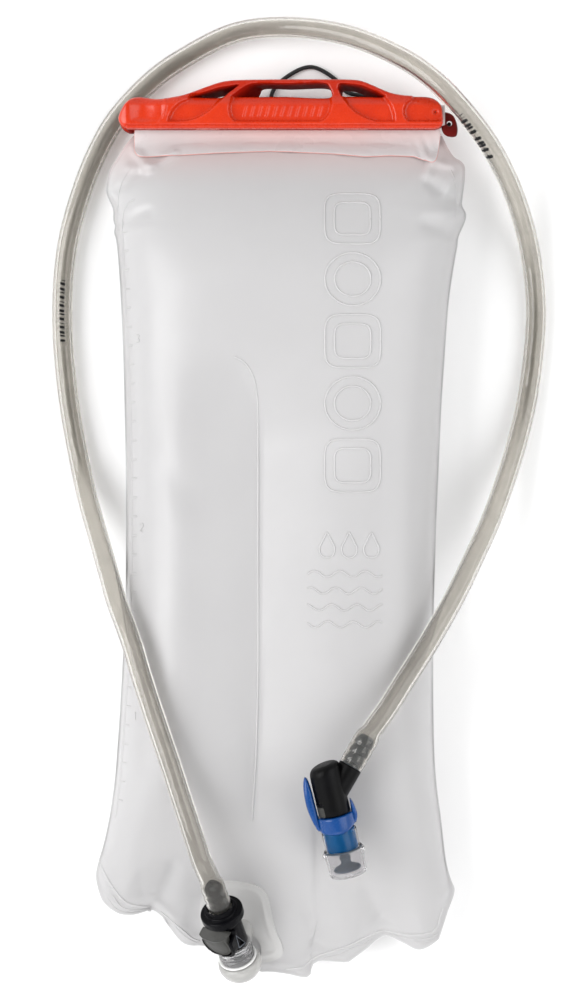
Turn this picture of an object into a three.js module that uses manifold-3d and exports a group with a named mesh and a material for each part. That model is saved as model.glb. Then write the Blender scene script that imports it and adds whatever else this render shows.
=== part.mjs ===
// Hydration bladder lying on its back, filled: a welded film bag with an inner baffle, a slide
// closure with a carrying handle, a quick-connect outlet, a drink tube and a bite valve.
// Millimetres. +Z is up, away from the surface the bag lies on, and +Y runs to the closure.
// The origin is the middle of the bag's flat back.
import * as THREE from 'three';
import { mergeVertices } from 'three/addons/utils/BufferGeometryUtils.js';
import Module from 'manifold-3d';

const wasm = await Module();
wasm.setup();

// ---------------------------------------------------------------- driving dimensions
const GAP = 0.3;

// Bag
const SEAM_Z = 22;
const FLANGE = 1;
const FRONT_RISE = 31;
const BAG_WIDTH = 150;
const MOUTH_Y = 187;
const MOUTH_TAPER = 70;
const BOTTOM_TAPER = 80;
const BACK_TAPER = 26;
const OFF_GROUND = 0.15;
const BAFFLE_THICKNESS = 0.8;
const BAFFLE_LENGTH = 200;
const BAFFLE_TOP = 33;
const BAFFLE_FOOT = 2.5;
// Weld line of the bag's sides: height on the bag, left edge, right edge.
const SIDES = [
  [-204, -80, 70], [-185, -80, 73], [-172, -81, 77], [-160, -86, 79.5], [-130, -80.5, 73],
  [-93, -76.5, 70], [-37, -73.7, 69.8], [28, -72.8, 71.8], [93, -74, 75.5], [130, -76.5, 79],
  [148, -78.5, 84], [166, -82, 84.3], [176, -79, 83], [187, -70, 74],
];
// Weld line of the bag's lower end, from the left corner to the right corner.
const LOWER_END = [
  [-81, -171], [-62, -173], [-46, -184], [-30, -190], [-8, -199], [10, -203],
  [17, -197], [32, -196], [46, -186], [62, -190], [75, -184],
];

// Slide closure and the fold of film that it grips
const FILM = 1.2;
const SLIDER_LEFT = -76;
const SLIDER_RIGHT = 73.9;
const LIP_Y = 189;
const CAVITY = { bottom: 190.4, top: 201.6, back: 20, front: 30 };
const SLOT = { back: 20.6, front: 26.9 };
const BODY_TOP = 204.1;
const BACK_FACE = 17.6;
const FRONT_FACE = 32.2;
const RIB_FACE = 33.5;
const HANDLE_BACK = 13;
const HANDLE_FRONT = 29;
const HANDLE_WALL = 1.9;
const RAIL = { left: -69.5, right: 74.6, bottom: 193.2, top: 198.8, back: 23.2, front: 27.2 };
const TAB = { right: 81, bottom: 185.8, top: 197.8, back: 23.4, front: 25.8, holeX: 76.9, holeY: 192.4 };
const LEASH_D = 1.9;

// Outlet, quick connect and drink tube. Stations along the connector are measured from the
// centre of the outlet elbow.
const OUTLET = new THREE.Vector3(-20.2, -193.2, 30);
const PORT_AXIS = new THREE.Vector3(-0.24, 0.803, 0.545).normalize();
const BUTTON_SIDE = new THREE.Vector3(-0.436, -0.59, 0.679);
const NECK_END = new THREE.Vector3(-16, -168, 17);
const ELBOW_R = 10.2;
const NECK_R = 4.5;
const SPOUT_R = 7.7;
const SPOUT_TOP = 11.3;
const SOCKET_R = 7.2;
const PLUG_R = 4.5;
const COLLAR_R = 9.6;
const TUBE_D = 9.6;
const BARB_R = 3.4;
const BARB_LENGTH = 15.5;

// Bite valve. Stations run along the valve from the elbow's centre to the bite end.
const VALVE_CENTRE = new THREE.Vector3(21.7, -114.7, 66);
const VALVE_AXIS = new THREE.Vector3(0.222, -0.966, -0.13).normalize();
const BRANCH_AXIS = new THREE.Vector3(0.505, 0.861, -0.06).normalize();
const BRANCH_LENGTH = 17;
const VALVE_R = 7.2;
const WING_IN = 7.6;
const WING_HALF_WIDTH = 3.2;
const BITE_FLANGE_R = 9.6;

// ---------------------------------------------------------------- helpers
const v3 = ([x, y, z]) => new THREE.Vector3(x, y, z);

// The same closed surface with shared vertices, no empty triangles and its faces pointing out.
function closed(source) {
  const bare = source.index ? source.toNonIndexed() : source.clone();
  for (const name of Object.keys(bare.attributes)) {
    if (name !== 'position') bare.deleteAttribute(name);
  }
  const merged = mergeVertices(bare, 1e-3);
  const position = merged.attributes.position;
  const corner = [new THREE.Vector3(), new THREE.Vector3(), new THREE.Vector3()];
  const kept = [];
  let volume = 0;
  for (let i = 0; i < merged.index.count; i += 3) {
    const face = [0, 1, 2].map((k) => merged.index.getX(i + k));
    if (new Set(face).size < 3) continue;
    face.forEach((vertex, k) => corner[k].fromBufferAttribute(position, vertex));
    volume += corner[0].dot(corner[1].clone().cross(corner[2]));
    kept.push(face);
  }
  const index = kept.flatMap(([a, b, c]) => (volume < 0 ? [a, c, b] : [a, b, c]));
  merged.setIndex(index);
  return merged;
}

function solid(geometry) {
  const { attributes, index } = closed(geometry);
  return new wasm.Manifold(new wasm.Mesh({
    numProp: 3,
    vertProperties: new Float32Array(attributes.position.array),
    triVerts: new Uint32Array(index.array),
  }));
}

function geometryOf(shape) {
  const { vertProperties, triVerts } = shape.getMesh();
  const geometry = new THREE.BufferGeometry();
  geometry.setAttribute('position', new THREE.BufferAttribute(vertProperties, 3));
  geometry.setIndex(new THREE.BufferAttribute(triVerts, 1));
  return geometry;
}

// A named sub-part made of one geometry or one joined and cut solid.
function part(name, shape, colour, roughness) {
  const geometry = shape.isBufferGeometry ? closed(shape) : geometryOf(shape);
  geometry.computeVertexNormals();
  const material = new THREE.MeshStandardMaterial({ color: colour, roughness, metalness: 0 });
  const mesh = new THREE.Mesh(geometry, material);
  mesh.name = name;
  return mesh;
}

// Round solid about the local Y axis from [radius, station] pairs; the profile closes itself.
function turned(profile, segments = 18) {
  const points = profile.map(([radius, station]) => new THREE.Vector2(radius, station));
  if (profile[0][0] > 0) points.push(points[0].clone());
  return new THREE.LatheGeometry(points, segments);
}

function ring(radius, wire, station, segments = 18) {
  const sides = 6;
  const profile = [];
  for (let i = 0; i < sides; i += 1) {
    const turn = (i / sides) * Math.PI * 2;
    profile.push([radius + wire * Math.cos(turn), station + wire * Math.sin(turn)]);
  }
  return turned(profile, segments);
}

function outline(points) {
  return new THREE.Shape(points.map(([x, y]) => new THREE.Vector2(x, y)));
}

// Flat plate from an outline in the XY plane between two heights.
function plate(points, back, front) {
  return new THREE.ExtrudeGeometry(outline(points), { depth: front - back, bevelEnabled: false })
    .translate(0, 0, back);
}

// Bar along X from an outline given as [y, z] pairs.
function bar(points, left, right) {
  const turn = new THREE.Matrix4().makeBasis(v3([0, 1, 0]), v3([0, 0, 1]), v3([1, 0, 0]));
  return plate(points, left, right).applyMatrix4(turn);
}

function box(min, max) {
  const size = max.map((value, i) => value - min[i]);
  const centre = max.map((value, i) => (value + min[i]) / 2);
  return new THREE.BoxGeometry(...size).translate(...centre);
}

// Outline of an even strip that follows a bent line in a plane.
function strip(line, thickness) {
  const points = line.map(([x, y]) => new THREE.Vector2(x, y));
  const offset = (side) => points.map((point, i) => {
    const before = points[Math.max(i - 1, 0)];
    const after = points[Math.min(i + 1, points.length - 1)];
    const into = point.clone().sub(before).normalize();
    const away = after.clone().sub(point).normalize();
    const along = into.clone().add(away).normalize();
    const bend = Math.sqrt((1 + (into.lengthSq() && away.lengthSq() ? into.dot(away) : 1)) / 2);
    const reach = (side * thickness) / 2 / bend;
    return [point.x - along.y * reach, point.y + along.x * reach];
  });
  return [...offset(1), ...offset(-1).reverse()];
}

// Round cord or wire along a smooth curve through the given points.
function cord(points, diameter, sides, steps) {
  const section = new THREE.Shape();
  for (let i = 0; i < sides; i += 1) {
    const turn = ((i + 0.5) / sides) * Math.PI * 2;
    const x = (diameter / 2) * Math.cos(turn);
    const y = (diameter / 2) * Math.sin(turn);
    if (i === 0) section.moveTo(x, y);
    else section.lineTo(x, y);
  }
  const path = new THREE.CatmullRomCurve3(points.map(v3), false, 'centripetal');
  return new THREE.ExtrudeGeometry(section, { steps, bevelEnabled: false, extrudePath: path });
}

function coil(radius, wire, from, to, turns) {
  const points = [];
  const steps = turns * 10;
  for (let i = 0; i <= steps; i += 1) {
    const turn = (i / steps) * turns * Math.PI * 2;
    const station = from + wire + ((to - from - 2 * wire) * i) / steps;
    points.push([radius * Math.cos(turn), station, radius * Math.sin(turn)]);
  }
  return cord(points, wire * 2, 5, steps);
}

// Frame whose local Y runs along the axis and whose local X points to the given side.
function axisFrame(origin, axis, side) {
  const x = side.clone().addScaledVector(axis, -side.dot(axis)).normalize();
  const z = x.clone().cross(axis);
  return new THREE.Matrix4().makeBasis(x, axis, z).setPosition(origin);
}

function groupAt(matrix) {
  const group = new THREE.Group();
  matrix.decompose(group.position, group.quaternion, group.scale);
  return group;
}

// ---------------------------------------------------------------- bag
const sideHeights = SIDES.map((row) => row[0]);
const leftEdge = new THREE.CubicInterpolant(sideHeights, SIDES.map((row) => row[1]), 1);
const rightEdge = new THREE.CubicInterpolant(sideHeights, SIDES.map((row) => row[2]), 1);
const lowerEdge = new THREE.CubicInterpolant(
  LOWER_END.map((row) => row[0]), LOWER_END.map((row) => row[1]), 1);
const lowerLeft = LOWER_END[0][0];
const lowerRight = LOWER_END.at(-1)[0];
const lowerEnd = (x) => lowerEdge.evaluate(Math.min(lowerRight, Math.max(lowerLeft, x)))[0];
const clamp01 = (value) => Math.min(1, Math.max(0, value));
const smooth = (value) => clamp01(value) ** 2 * (3 - 2 * clamp01(value));

// Share of the front's height that the baffle pulls away: a valley with a long left bank and a
// short right bank.
function valley(x, y) {
  const foot = -11 + 5 * smooth((y + 130) / 200) - 12 * smooth((y - 50) / 40);
  const bank = x < foot ? 42 : 16;
  const across = 1 - smooth(Math.abs(x - foot) / bank);
  const along = smooth((88 - y) / 45) * smooth((y + 142) / 45);
  return 0.5 * across * along;
}

// Share of the front's height that the outlet's pad holds down.
function outletDent(x, y) {
  return 0.75 * Math.exp(-((x + 22) ** 2) / 968 - (y + 185) ** 2 / 1568);
}

function frontHeight(x, y, across) {
  const side = Math.sqrt(1 - Math.abs(2 * across - 1) ** 4);
  const mouth = Math.sin(clamp01((MOUTH_Y - y) / MOUTH_TAPER) * (Math.PI / 2));
  const foot = Math.sin(clamp01((y - lowerEnd(x)) / BOTTOM_TAPER) * (Math.PI / 2));
  return FLANGE + FRONT_RISE * side * mouth * foot * (1 - valley(x, y)) * (1 - outletDent(x, y));
}

// The back lies flat on the ground, and curves up to the weld round its edge. What isn't flat
// keeps clear of the ground.
function backDepth(x, y, across) {
  const curve = (distance) => Math.sqrt(1 - (1 - clamp01(distance / BACK_TAPER)) ** 2);
  const side = curve(Math.min(across, 1 - across) * BAG_WIDTH);
  const mouth = curve((MOUTH_Y - y) / 1.6);
  const depth = side * mouth * curve(y - lowerEnd(x));
  return FLANGE + (SEAM_Z - FLANGE) * depth - (depth < 1 ? OFF_GROUND : 0);
}

// One half of the filled bag: flat on the weld's plane, with its free side given by a height.
function bagHalf(height, sign, columns, rows) {
  const weldZ = SEAM_Z + (sign * GAP) / 2;
  const spread = (i, count) => (1 - Math.cos((Math.PI * i) / count)) / 2;
  const grid = [];
  for (let j = 0; j <= rows; j += 1) {
    for (let i = 0; i <= columns; i += 1) {
      const across = spread(i, columns);
      const low = lowerEnd(lowerLeft + (lowerRight - lowerLeft) * across);
      const y = MOUTH_Y - (MOUTH_Y - low) * spread(j, rows);
      const left = leftEdge.evaluate(y)[0];
      const x = left + (rightEdge.evaluate(y)[0] - left) * across;
      grid.push([x, y, height(x, y, across)]);
    }
  }
  const id = (i, j) => j * (columns + 1) + i;
  const rim = [];
  for (let i = 0; i < columns; i += 1) rim.push(id(i, 0));
  for (let j = 0; j < rows; j += 1) rim.push(id(columns, j));
  for (let i = columns; i > 0; i -= 1) rim.push(id(i, rows));
  for (let j = rows; j > 0; j -= 1) rim.push(id(0, j));
  const free = grid.map(([x, y, h]) => [x, y, SEAM_Z + sign * h]);
  const points = [...free, ...rim.map((k) => [grid[k][0], grid[k][1], weldZ])];
  const base = free.length;
  const faces = [];
  for (let j = 0; j < rows; j += 1) {
    for (let i = 0; i < columns; i += 1) {
      const [a, b, c, d] = [id(i, j), id(i, j + 1), id(i + 1, j + 1), id(i + 1, j)];
      faces.push([a, b, c], [a, c, d]);
    }
  }
  rim.forEach((k, n) => {
    const next = (n + 1) % rim.length;
    faces.push([k, rim[next], base + next], [k, base + next, base + n]);
  });
  const contour = rim.map((k) => new THREE.Vector2(grid[k][0], grid[k][1]));
  // The rim runs clockwise seen from above, and the triangles of its cap run the same way.
  for (const face of THREE.ShapeUtils.triangulateShape(contour, [])) {
    const clockwise = THREE.ShapeUtils.area(face.map((k) => contour[k])) < 0;
    faces.push((clockwise ? face : face.reverse()).map((k) => base + k));
  }
  const geometry = new THREE.BufferGeometry();
  const flat = faces.flatMap((face) => face.flatMap((k) => points[k]));
  geometry.setAttribute('position', new THREE.Float32BufferAttribute(flat, 3));
  return geometry;
}

// ---------------------------------------------------------------- outlet and quick connect
const connector = axisFrame(OUTLET, PORT_AXIS, BUTTON_SIDE);
const neckAxis = NECK_END.clone().sub(OUTLET);
const neckLength = neckAxis.length();
const neckFrame = axisFrame(OUTLET, neckAxis.clone().normalize(), BUTTON_SIDE);
const neckRod = (radius, from, to) => new THREE.CylinderGeometry(radius, radius, to - from, 12)
  .translate(0, (from + to) / 2, 0).applyMatrix4(neckFrame);
const portRod = (radius, from, to, segments = 18) => new THREE.CylinderGeometry(
  radius, radius, to - from, segments).translate(0, (from + to) / 2, 0).applyMatrix4(connector);
const ball = (radius) => new THREE.SphereGeometry(radius, 18, 12).translate(...OUTLET);

// Everything of the outlet that passes through the film, a gap larger.
const outletRoom = solid(ball(ELBOW_R + GAP))
  .add(solid(neckRod(NECK_R + GAP, 0, neckLength + GAP)))
  .add(solid(portRod(SPOUT_R + 0.8, 0, SPOUT_TOP + 8)));

function spoutProfile() {
  const profile = [[0, 0], [SPOUT_R, 0]];
  const ribs = 3;
  for (let i = 0; i < ribs; i += 1) {
    const station = 3 + i * 2.8;
    profile.push([SPOUT_R, station], [SPOUT_R + 0.5, station + 0.8], [SPOUT_R, station + 1.6]);
  }
  return [...profile, [SPOUT_R, SPOUT_TOP], [0, SPOUT_TOP]];
}

function outletFitting() {
  return solid(ball(ELBOW_R))
    .add(solid(turned(spoutProfile()).applyMatrix4(connector)))
    .add(solid(neckRod(NECK_R, 0, neckLength)))
    .subtract(solid(portRod(5, 3.9, SPOUT_TOP + 1)))
    .subtract(solid(portRod(2.8, -1, 5, 12)))
    .subtract(solid(neckRod(2.8, -0.5, neckLength + 1)));
}

function socketBody() {
  const round = solid(turned([
    [1.4, 4.3], [4.5, 4.3], [4.5, 7.2], [3.7, 7.2], [3.7, 8.8], [4.5, 8.8], [4.5, 11.6],
    [SOCKET_R - 0.6, 11.6], [SOCKET_R, 12.4], [SOCKET_R, 25.4], [6.6, 26.2], [4.9, 26.2],
    [4.9, 14], [2, 14], [2, 13.4], [3, 13.4], [3, 5], [1.4, 5],
  ]));
  const housing = solid(box([3, 11.9, -7.4], [8.6, 25, 7.4]));
  const bore = solid(turned([[0, 12], [4.9, 12], [4.9, 27], [0, 27]]));
  const pocket = solid(box([6.1, 13, -6.1], [10, 26.5, 6.1]));
  return round.add(housing.subtract(bore)).subtract(pocket);
}

// Thumb pad: a tapering shield with a sloping shelf at its upper end.
function releaseButton() {
  const side = outline([[7.9, 13.4], [9.4, 13.4], [10, 20], [11.2, 24.2], [8.4, 26], [7.9, 26]]);
  const width = 11.6;
  const body = new THREE.ExtrudeGeometry(side, { depth: width, bevelEnabled: false });
  const shield = outline([
    [-5.8, 26.4], [5.8, 26.4], [5.8, 18], [4.6, 15], [2.4, 13.5],
    [-2.4, 13.5], [-4.6, 15], [-5.8, 18],
  ]);
  const cutter = new THREE.ExtrudeGeometry(shield, { depth: 8, bevelEnabled: false });
  const turn = new THREE.Matrix4().makeBasis(v3([0, 0, -1]), v3([0, 1, 0]), v3([1, 0, 0]));
  cutter.translate(0, 0, 6).applyMatrix4(turn);
  return solid(body.translate(0, 0, -width / 2)).intersect(solid(cutter));
}

// Three saw-tooth rings on a hose barb that starts at the given station.
function barbProfile(start) {
  const profile = [[BARB_R - 0.3, start]];
  const pitch = 4.4;
  for (let i = 0; i < 3; i += 1) {
    const foot = start + 2 + i * pitch;
    profile.push([BARB_R - 0.3, foot], [BARB_R + 0.2, foot + 0.3]);
  }
  return [...profile, [BARB_R - 0.8, start + BARB_LENGTH]];
}

function tubePlug() {
  return turned([
    [1.2, 14.5], [4.1, 14.5], [PLUG_R, 15], [PLUG_R, 17.3], [3.6, 17.3], [3.6, 18.9],
    [PLUG_R, 18.9], [PLUG_R, 26.6], [COLLAR_R - 0.6, 26.9], [COLLAR_R, 27.8], [COLLAR_R, 31.8],
    [COLLAR_R - 1.4, 33], [7.2, 33.2], [6.8, 33.8], [5.6, 34], ...barbProfile(34),
    [1.2, 34 + BARB_LENGTH],
  ]);
}

const checkPoppet = () => turned([
  [0, 7.2], [1, 7.2], [1, 8.5], [2.6, 8.5], [2.6, 9.8], [1, 9.8], [1, 12.6], [1.6, 13], [1.6, 14.2],
  [0, 14.2],
], 16);

// ---------------------------------------------------------------- drink tube
// Route of the drink tube: out of the plug, over the left lobe, down to the ground, under the
// closure's left end, round the top, over the end tab and up over the right edge to the valve.
function tubeRoute() {
  const lead = [34.3, 42, 50].map((station) => OUTLET.clone().addScaledVector(PORT_AXIS, station));
  const tail = [33, 25, BRANCH_LENGTH + GAP].map(
    (reach) => VALVE_CENTRE.clone().addScaledVector(BRANCH_AXIS, reach));
  const between = [
    [-36.3, -142.5, 62.6], [-39.3, -133.1, 63.2], [-45.2, -115.4, 61.6], [-51.1, -97.8, 59],
    [-57.3, -80, 56.6], [-63.3, -62.2, 53.6], [-69, -44.4, 49], [-76.1, -27, 40], [-79.1, -18.1, 34],
    [-85.2, 0, 22], [-91.2, 18.4, 12], [-95.8, 37.2, 5.8], [-99.4, 56, 5], [-102, 75, 5],
    [-103.8, 98.4, 5], [-103.4, 122, 5], [-101, 140.7, 5], [-96, 159.6, 5], [-89, 178.4, 5],
    [-78.7, 197.2, 5], [-61.2, 216, 5], [-48, 225.4, 5.3], [-22.5, 237.5, 8], [2.8, 239.2, 13],
    [31, 233.5, 21], [56, 221, 30], [68.8, 211, 35], [78.2, 201.5, 36], [93.3, 184, 31],
    [104.3, 166.6, 22], [111.7, 149, 14], [116.5, 131, 8], [119, 107.8, 5.2], [117.5, 84.3, 5],
    [114.6, 65.4, 6], [109.9, 46.5, 9], [103.7, 27.7, 14.5], [96.3, 9.1, 22], [87.1, -9.2, 31.5],
    [77.5, -27.1, 41], [64, -48.9, 51.5], [55.2, -62, 57], [46.3, -75.4, 62],
  ];
  return [...lead.map((p) => p.toArray()), ...between, ...tail.map((p) => p.toArray())];
}

function drinkTube() {
  const room = BARB_R + 0.2 + GAP;
  const plugRoom = portRod(room, 30, 34 + BARB_LENGTH + GAP, 16);
  const branchFrame = axisFrame(VALVE_CENTRE, BRANCH_AXIS, v3([0, 0, 1]));
  const branchRoom = new THREE.CylinderGeometry(room, room, 20, 16)
    .translate(0, BRANCH_LENGTH + BARB_LENGTH + GAP - 10, 0).applyMatrix4(branchFrame);
  return solid(cord(tubeRoute(), TUBE_D, 10, 72)).subtract(solid(plugRoom)).subtract(solid(branchRoom));
}

// ---------------------------------------------------------------- slide closure
// Film of the mouth, up behind the rail, over it, and down in front as a free flap.
const MOUTH_LINE = [
  [MOUTH_Y + GAP, 22], [199.2, 22], [199.9, 23], [199.9, 27.6], [199.2, 28.4], [192.7, 28.4],
  [190.9, 25.9], [188.6, 26], [184, 28.6], [177.2, 33],
];

function closureRail() {
  const bead = box([RAIL.left, RAIL.bottom, RAIL.back], [RAIL.right, RAIL.top, RAIL.front]);
  const hook = [[-72.8, 193.6], [-72.8, 189.8], [-69.9, 187.9], [-69.2, 189], [-69.2, 196], [-71, 196]];
  const tab = [
    [74, 196], [74, 187.6], [75.8, TAB.bottom], [79, TAB.bottom], [TAB.right, 188],
    [TAB.right, 195.6], [79, TAB.top], [75.4, TAB.top],
  ];
  const hole = new THREE.CylinderGeometry(1.3, 1.3, 8, 12).rotateX(Math.PI / 2)
    .translate(TAB.holeX, TAB.holeY, TAB.back);
  return solid(bead)
    .add(solid(plate(hook, TAB.back, TAB.front)))
    .add(solid(plate(tab, TAB.back, TAB.front)))
    .subtract(solid(hole));
}

// Handle seen from the front: rises from the body at both ends to a long straight grip.
function handleArch(inset) {
  const curve = new THREE.SplineCurve([
    [-57, 202.6], [-46, 205.2], [-38.2, 208.1], [-31, 210.7], [-25.8, 211.6], [-15.7, 211.9],
    [32.7, 211.9], [38, 211.3], [44, 209.9], [51.6, 207.2], [62, 202.6],
  ].map(([x, y]) => new THREE.Vector2(x, y - inset)));
  return curve.getPoints(28).map((point) => [point.x, point.y]);
}

function slider() {
  const channel = solid(bar([
    [LIP_Y, BACK_FACE], [203, BACK_FACE], [BODY_TOP, 19], [BODY_TOP, 30.4], [201.5, FRONT_FACE],
    [192, FRONT_FACE], [191.6, RIB_FACE], [LIP_Y, RIB_FACE],
  ], SLIDER_LEFT, SLIDER_RIGHT));
  // The left end is a thicker finger grip with a saddle across it.
  const grip = solid(plate([
    [SLIDER_LEFT, 192.5], [SLIDER_LEFT, 199], [-74, 202.6], [-70.5, 204.6], [-66.5, 205],
    [-61, 204.2], [-55, 204.4], [-55, 189.4], [-72.5, 189.4],
  ], 15, RIB_FACE));
  const saddle = solid(new THREE.CylinderGeometry(7, 7, 30, 20).translate(-66.5, 198, 38.2));
  const frame = solid(plate([...handleArch(0), [62, 202], [-57, 202]], HANDLE_BACK, HANDLE_FRONT));
  const window = solid(plate([
    ...handleArch(HANDLE_WALL).filter(([, y]) => y > BODY_TOP), [50, BODY_TOP], [-44, BODY_TOP],
  ], HANDLE_BACK - 1, HANDLE_FRONT + 1));
  // Struts join the grip to the body and run down its face as ribs.
  const strutLines = [
    [[-19, 210.8], [-24.5, 206.6], [-28.2, 201.5], [-28.6, 196.5], [-25.4, 191.6]],
    [[22.5, 210.8], [25.2, 206], [25.6, 200], [23.4, 195], [19.6, 191.6]],
  ];
  const cavity = solid(bar([
    [LIP_Y - 1, SLOT.back], [CAVITY.bottom, SLOT.back], [CAVITY.bottom, CAVITY.back],
    [CAVITY.top, CAVITY.back], [CAVITY.top, CAVITY.front], [CAVITY.bottom, CAVITY.front],
    [CAVITY.bottom, SLOT.front], [LIP_Y - 1, SLOT.front],
  ], SLIDER_LEFT + 2, SLIDER_RIGHT + 1));
  const leashHole = solid(new THREE.CylinderGeometry(1.25, 1.25, 4, 10).rotateX(Math.PI / 2)
    .translate(70.4, 197.2, BACK_FACE + 1));
  const corner = solid(plate([[66.5, 207], [75, 207], [75, 196]], 10, 40));
  let shape = channel.add(grip).subtract(saddle).add(frame.subtract(window));
  for (const line of strutLines) {
    const rib = strip(line, 2.2);
    shape = shape.add(solid(plate(rib, FRONT_FACE - 1.5, RIB_FACE)));
    shape = shape.add(solid(plate(strip(line.slice(0, 3), 2.2), HANDLE_BACK, RIB_FACE)));
  }
  return shape.subtract(cavity).subtract(leashHole).subtract(corner);
}

const LEASH_ROUTE = [
  [TAB.holeX, TAB.holeY, 22.6], [76.8, 192.7, 17], [75.6, 193.8, 10], [72, 196.4, 4], [65, 200, 1.4],
  [52, 205, 1.2], [40, 208.6, 1.2], [29.6, 211.2, 1.2], [24.5, 217, 1.2], [13, 222.8, 1.2],
  [1, 217.6, 1.2], [-5.3, 210.2, 1.2], [-4.4, 202.6, 1.2], [4, 198.4, 1.2], [20, 197.2, 1.3],
  [40, 196.9, 1.6], [58, 197, 4], [67, 197.1, 9], [70.3, 197.2, 13.4], [70.4, 197.2, 17.2],
];

// ---------------------------------------------------------------- bite valve
const leftSide = VALVE_AXIS.clone().cross(v3([0, 0, 1])).normalize();
const valveFrame = axisFrame(VALVE_CENTRE, VALVE_AXIS, leftSide);
const branchLocal = BRANCH_AXIS.clone().transformDirection(valveFrame.clone().invert());

function biteElbow() {
  const body = turned([
    [0, -16.4], [5, -16.2], [6.6, -15.2], [VALVE_R, -13.4], [VALVE_R, 6.5], [4.6, 6.5], [4.6, 9.2],
    [3.8, 9.2], [3.8, 10.8], [4.6, 10.8], [4.6, 13.5], [0, 13.5],
  ]);
  const branchTurn = axisFrame(v3([0, 0, 0]), branchLocal, v3([0, 0, 1]));
  const branch = turned([
    [0, 0], [5.4, 0], [5.4, BRANCH_LENGTH], ...barbProfile(BRANCH_LENGTH),
    [0, BRANCH_LENGTH + BARB_LENGTH],
  ]).applyMatrix4(branchTurn);
  const outlet = new THREE.CylinderGeometry(2.8, 2.8, 17, 16).translate(0, 6.5, 0);
  const inlet = new THREE.CylinderGeometry(1.8, 1.8, 36, 12).translate(0, 17.5, 0).applyMatrix4(branchTurn);
  return solid(body).add(solid(branch)).subtract(solid(outlet)).subtract(solid(inlet));
}

function shutoffValve() {
  const sleeve = turned([
    [5.1, 6.9], [8.2, 6.9], [8.4, 8], [8.2, 13.4], [7.2, 14.4], [7.2, 23.2], [3.4, 23.2], [3.4, 14],
    [5.1, 14],
  ]);
  const longWing = outline([
    [7, 12.8], [9, 12], [10.8, 7], [11.6, 1], [11.4, -6], [10.2, -11.2], [9.2, -12.6],
    [8.3, -11], [WING_IN, -6], [WING_IN, 7.2], [7, 8],
  ]);
  const shortWing = outline([
    [-7, 12.8], [-8, 12.6], [-9.7, 9.6], [-9.4, 6], [-8.4, 1.6], [-7.9, 1.6], [-WING_IN, 4],
    [-WING_IN, 7.2], [-7, 8],
  ]);
  const wing = (shape) => solid(new THREE.ExtrudeGeometry(
    shape, { depth: 2 * WING_HALF_WIDTH, bevelEnabled: false }).translate(0, 0, -WING_HALF_WIDTH));
  return solid(sleeve).add(wing(longWing)).add(wing(shortWing));
}

const valveCore = () => turned([
  [0, 23.5], [4.4, 23.5], [4.4, 25], [2.2, 27], [1.8, 28.6], [2.4, 30.4], [4.6, 31.6], [4.8, 32.8],
  [0, 32.8],
], 16);

const biteValve = () => turned([
  [7.5, 14.8], [8.2, 14.8], [8.3, 23], [BITE_FLANGE_R, 23.6], [BITE_FLANGE_R, 25], [8.7, 26.4],
  [8.4, 34], [7.4, 35.3], [0, 35.3], [0, 33.6], [6.2, 33.6], [6.6, 25.4], [7.5, 23.6],
]);

// ---------------------------------------------------------------- assembly
const baffleTurn = (geometry) => geometry.rotateZ(-0.02).translate(-11.5, -26, 0);
const baffle = (room) => baffleTurn(box(
  [-BAFFLE_THICKNESS / 2 - room, -BAFFLE_LENGTH / 2 - room, BAFFLE_FOOT - room],
  [BAFFLE_THICKNESS / 2 + room, BAFFLE_LENGTH / 2 + room, BAFFLE_TOP + room]));

const frontHalf = solid(bagHalf(frontHeight, 1, 14, 22));
const backHalf = solid(bagHalf(backDepth, -1, 10, 14));
const padOutline = [
  [-38, -186], [-38, -166], [-34, -159], [-27, -156.5], [-11, -158], [-6.3, -164], [-4, -178],
  [-2, -190], [-8, -197], [-34, -189],
];
const padBlank = solid(plate(padOutline, SEAM_Z + 2, 60));
const portPlate = frontHalf.translate(0, 0, 1.5).subtract(frontHalf.translate(0, 0, 0.35))
  .intersect(padBlank).subtract(outletRoom);

const group = new THREE.Group();

const bag = new THREE.Group();
bag.add(
  part('front_panel', frontHalf.subtract(outletRoom).subtract(solid(baffle(GAP))), 0xe6e6e8, 0.35),
  part('back_panel', backHalf.subtract(outletRoom).subtract(solid(baffle(GAP))), 0xe0e0e2, 0.35),
  part('baffle', baffle(0), 0xeaeaec, 0.4),
  part('mouth_fold', bar(strip(MOUTH_LINE, FILM), -68.8, 72.5), 0xdfcccc, 0.3),
  part('port_plate', portPlate, 0xdcdcdc, 0.25),
);

const closure = new THREE.Group();
closure.add(
  part('closure_rail', closureRail(), 0x6b1e14, 0.45),
  part('slider', slider(), 0xe84321, 0.35),
  part('tether_cord', cord(LEASH_ROUTE, LEASH_D, 8, 48), 0x141414, 0.7),
);

const outlet = new THREE.Group();
outlet.add(part('port_fitting', outletFitting(), 0xd2d1ce, 0.2));
const quickConnect = groupAt(connector);
const buttonSpringFrame = new THREE.Matrix4().makeBasis(v3([0, -1, 0]), v3([1, 0, 0]), v3([0, 0, 1]))
  .setPosition(0, 19, 0);
quickConnect.add(
  part('port_oring', ring(4.4, 0.45, 8), 0x141414, 0.6),
  part('socket_body', socketBody(), 0x151515, 0.35),
  part('release_button', releaseButton(), 0x646462, 0.4),
  part('button_spring', coil(1.6, 0.14, 6.3, 7.7, 2).applyMatrix4(buttonSpringFrame), 0xb0b0b0, 0.3),
  part('check_poppet', checkPoppet(), 0xd8d8d8, 0.4),
  part('poppet_seal', ring(1.85, 0.42, 10.35, 16), 0x141414, 0.6),
  part('poppet_spring', coil(1.9, 0.25, 5.3, 8.2, 4), 0xb0b0b0, 0.3),
  part('tube_plug', tubePlug(), 0x1a1a1a, 0.35),
  part('plug_oring', ring(4.3, 0.42, 18.1), 0x141414, 0.6),
);
outlet.add(quickConnect);

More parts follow.
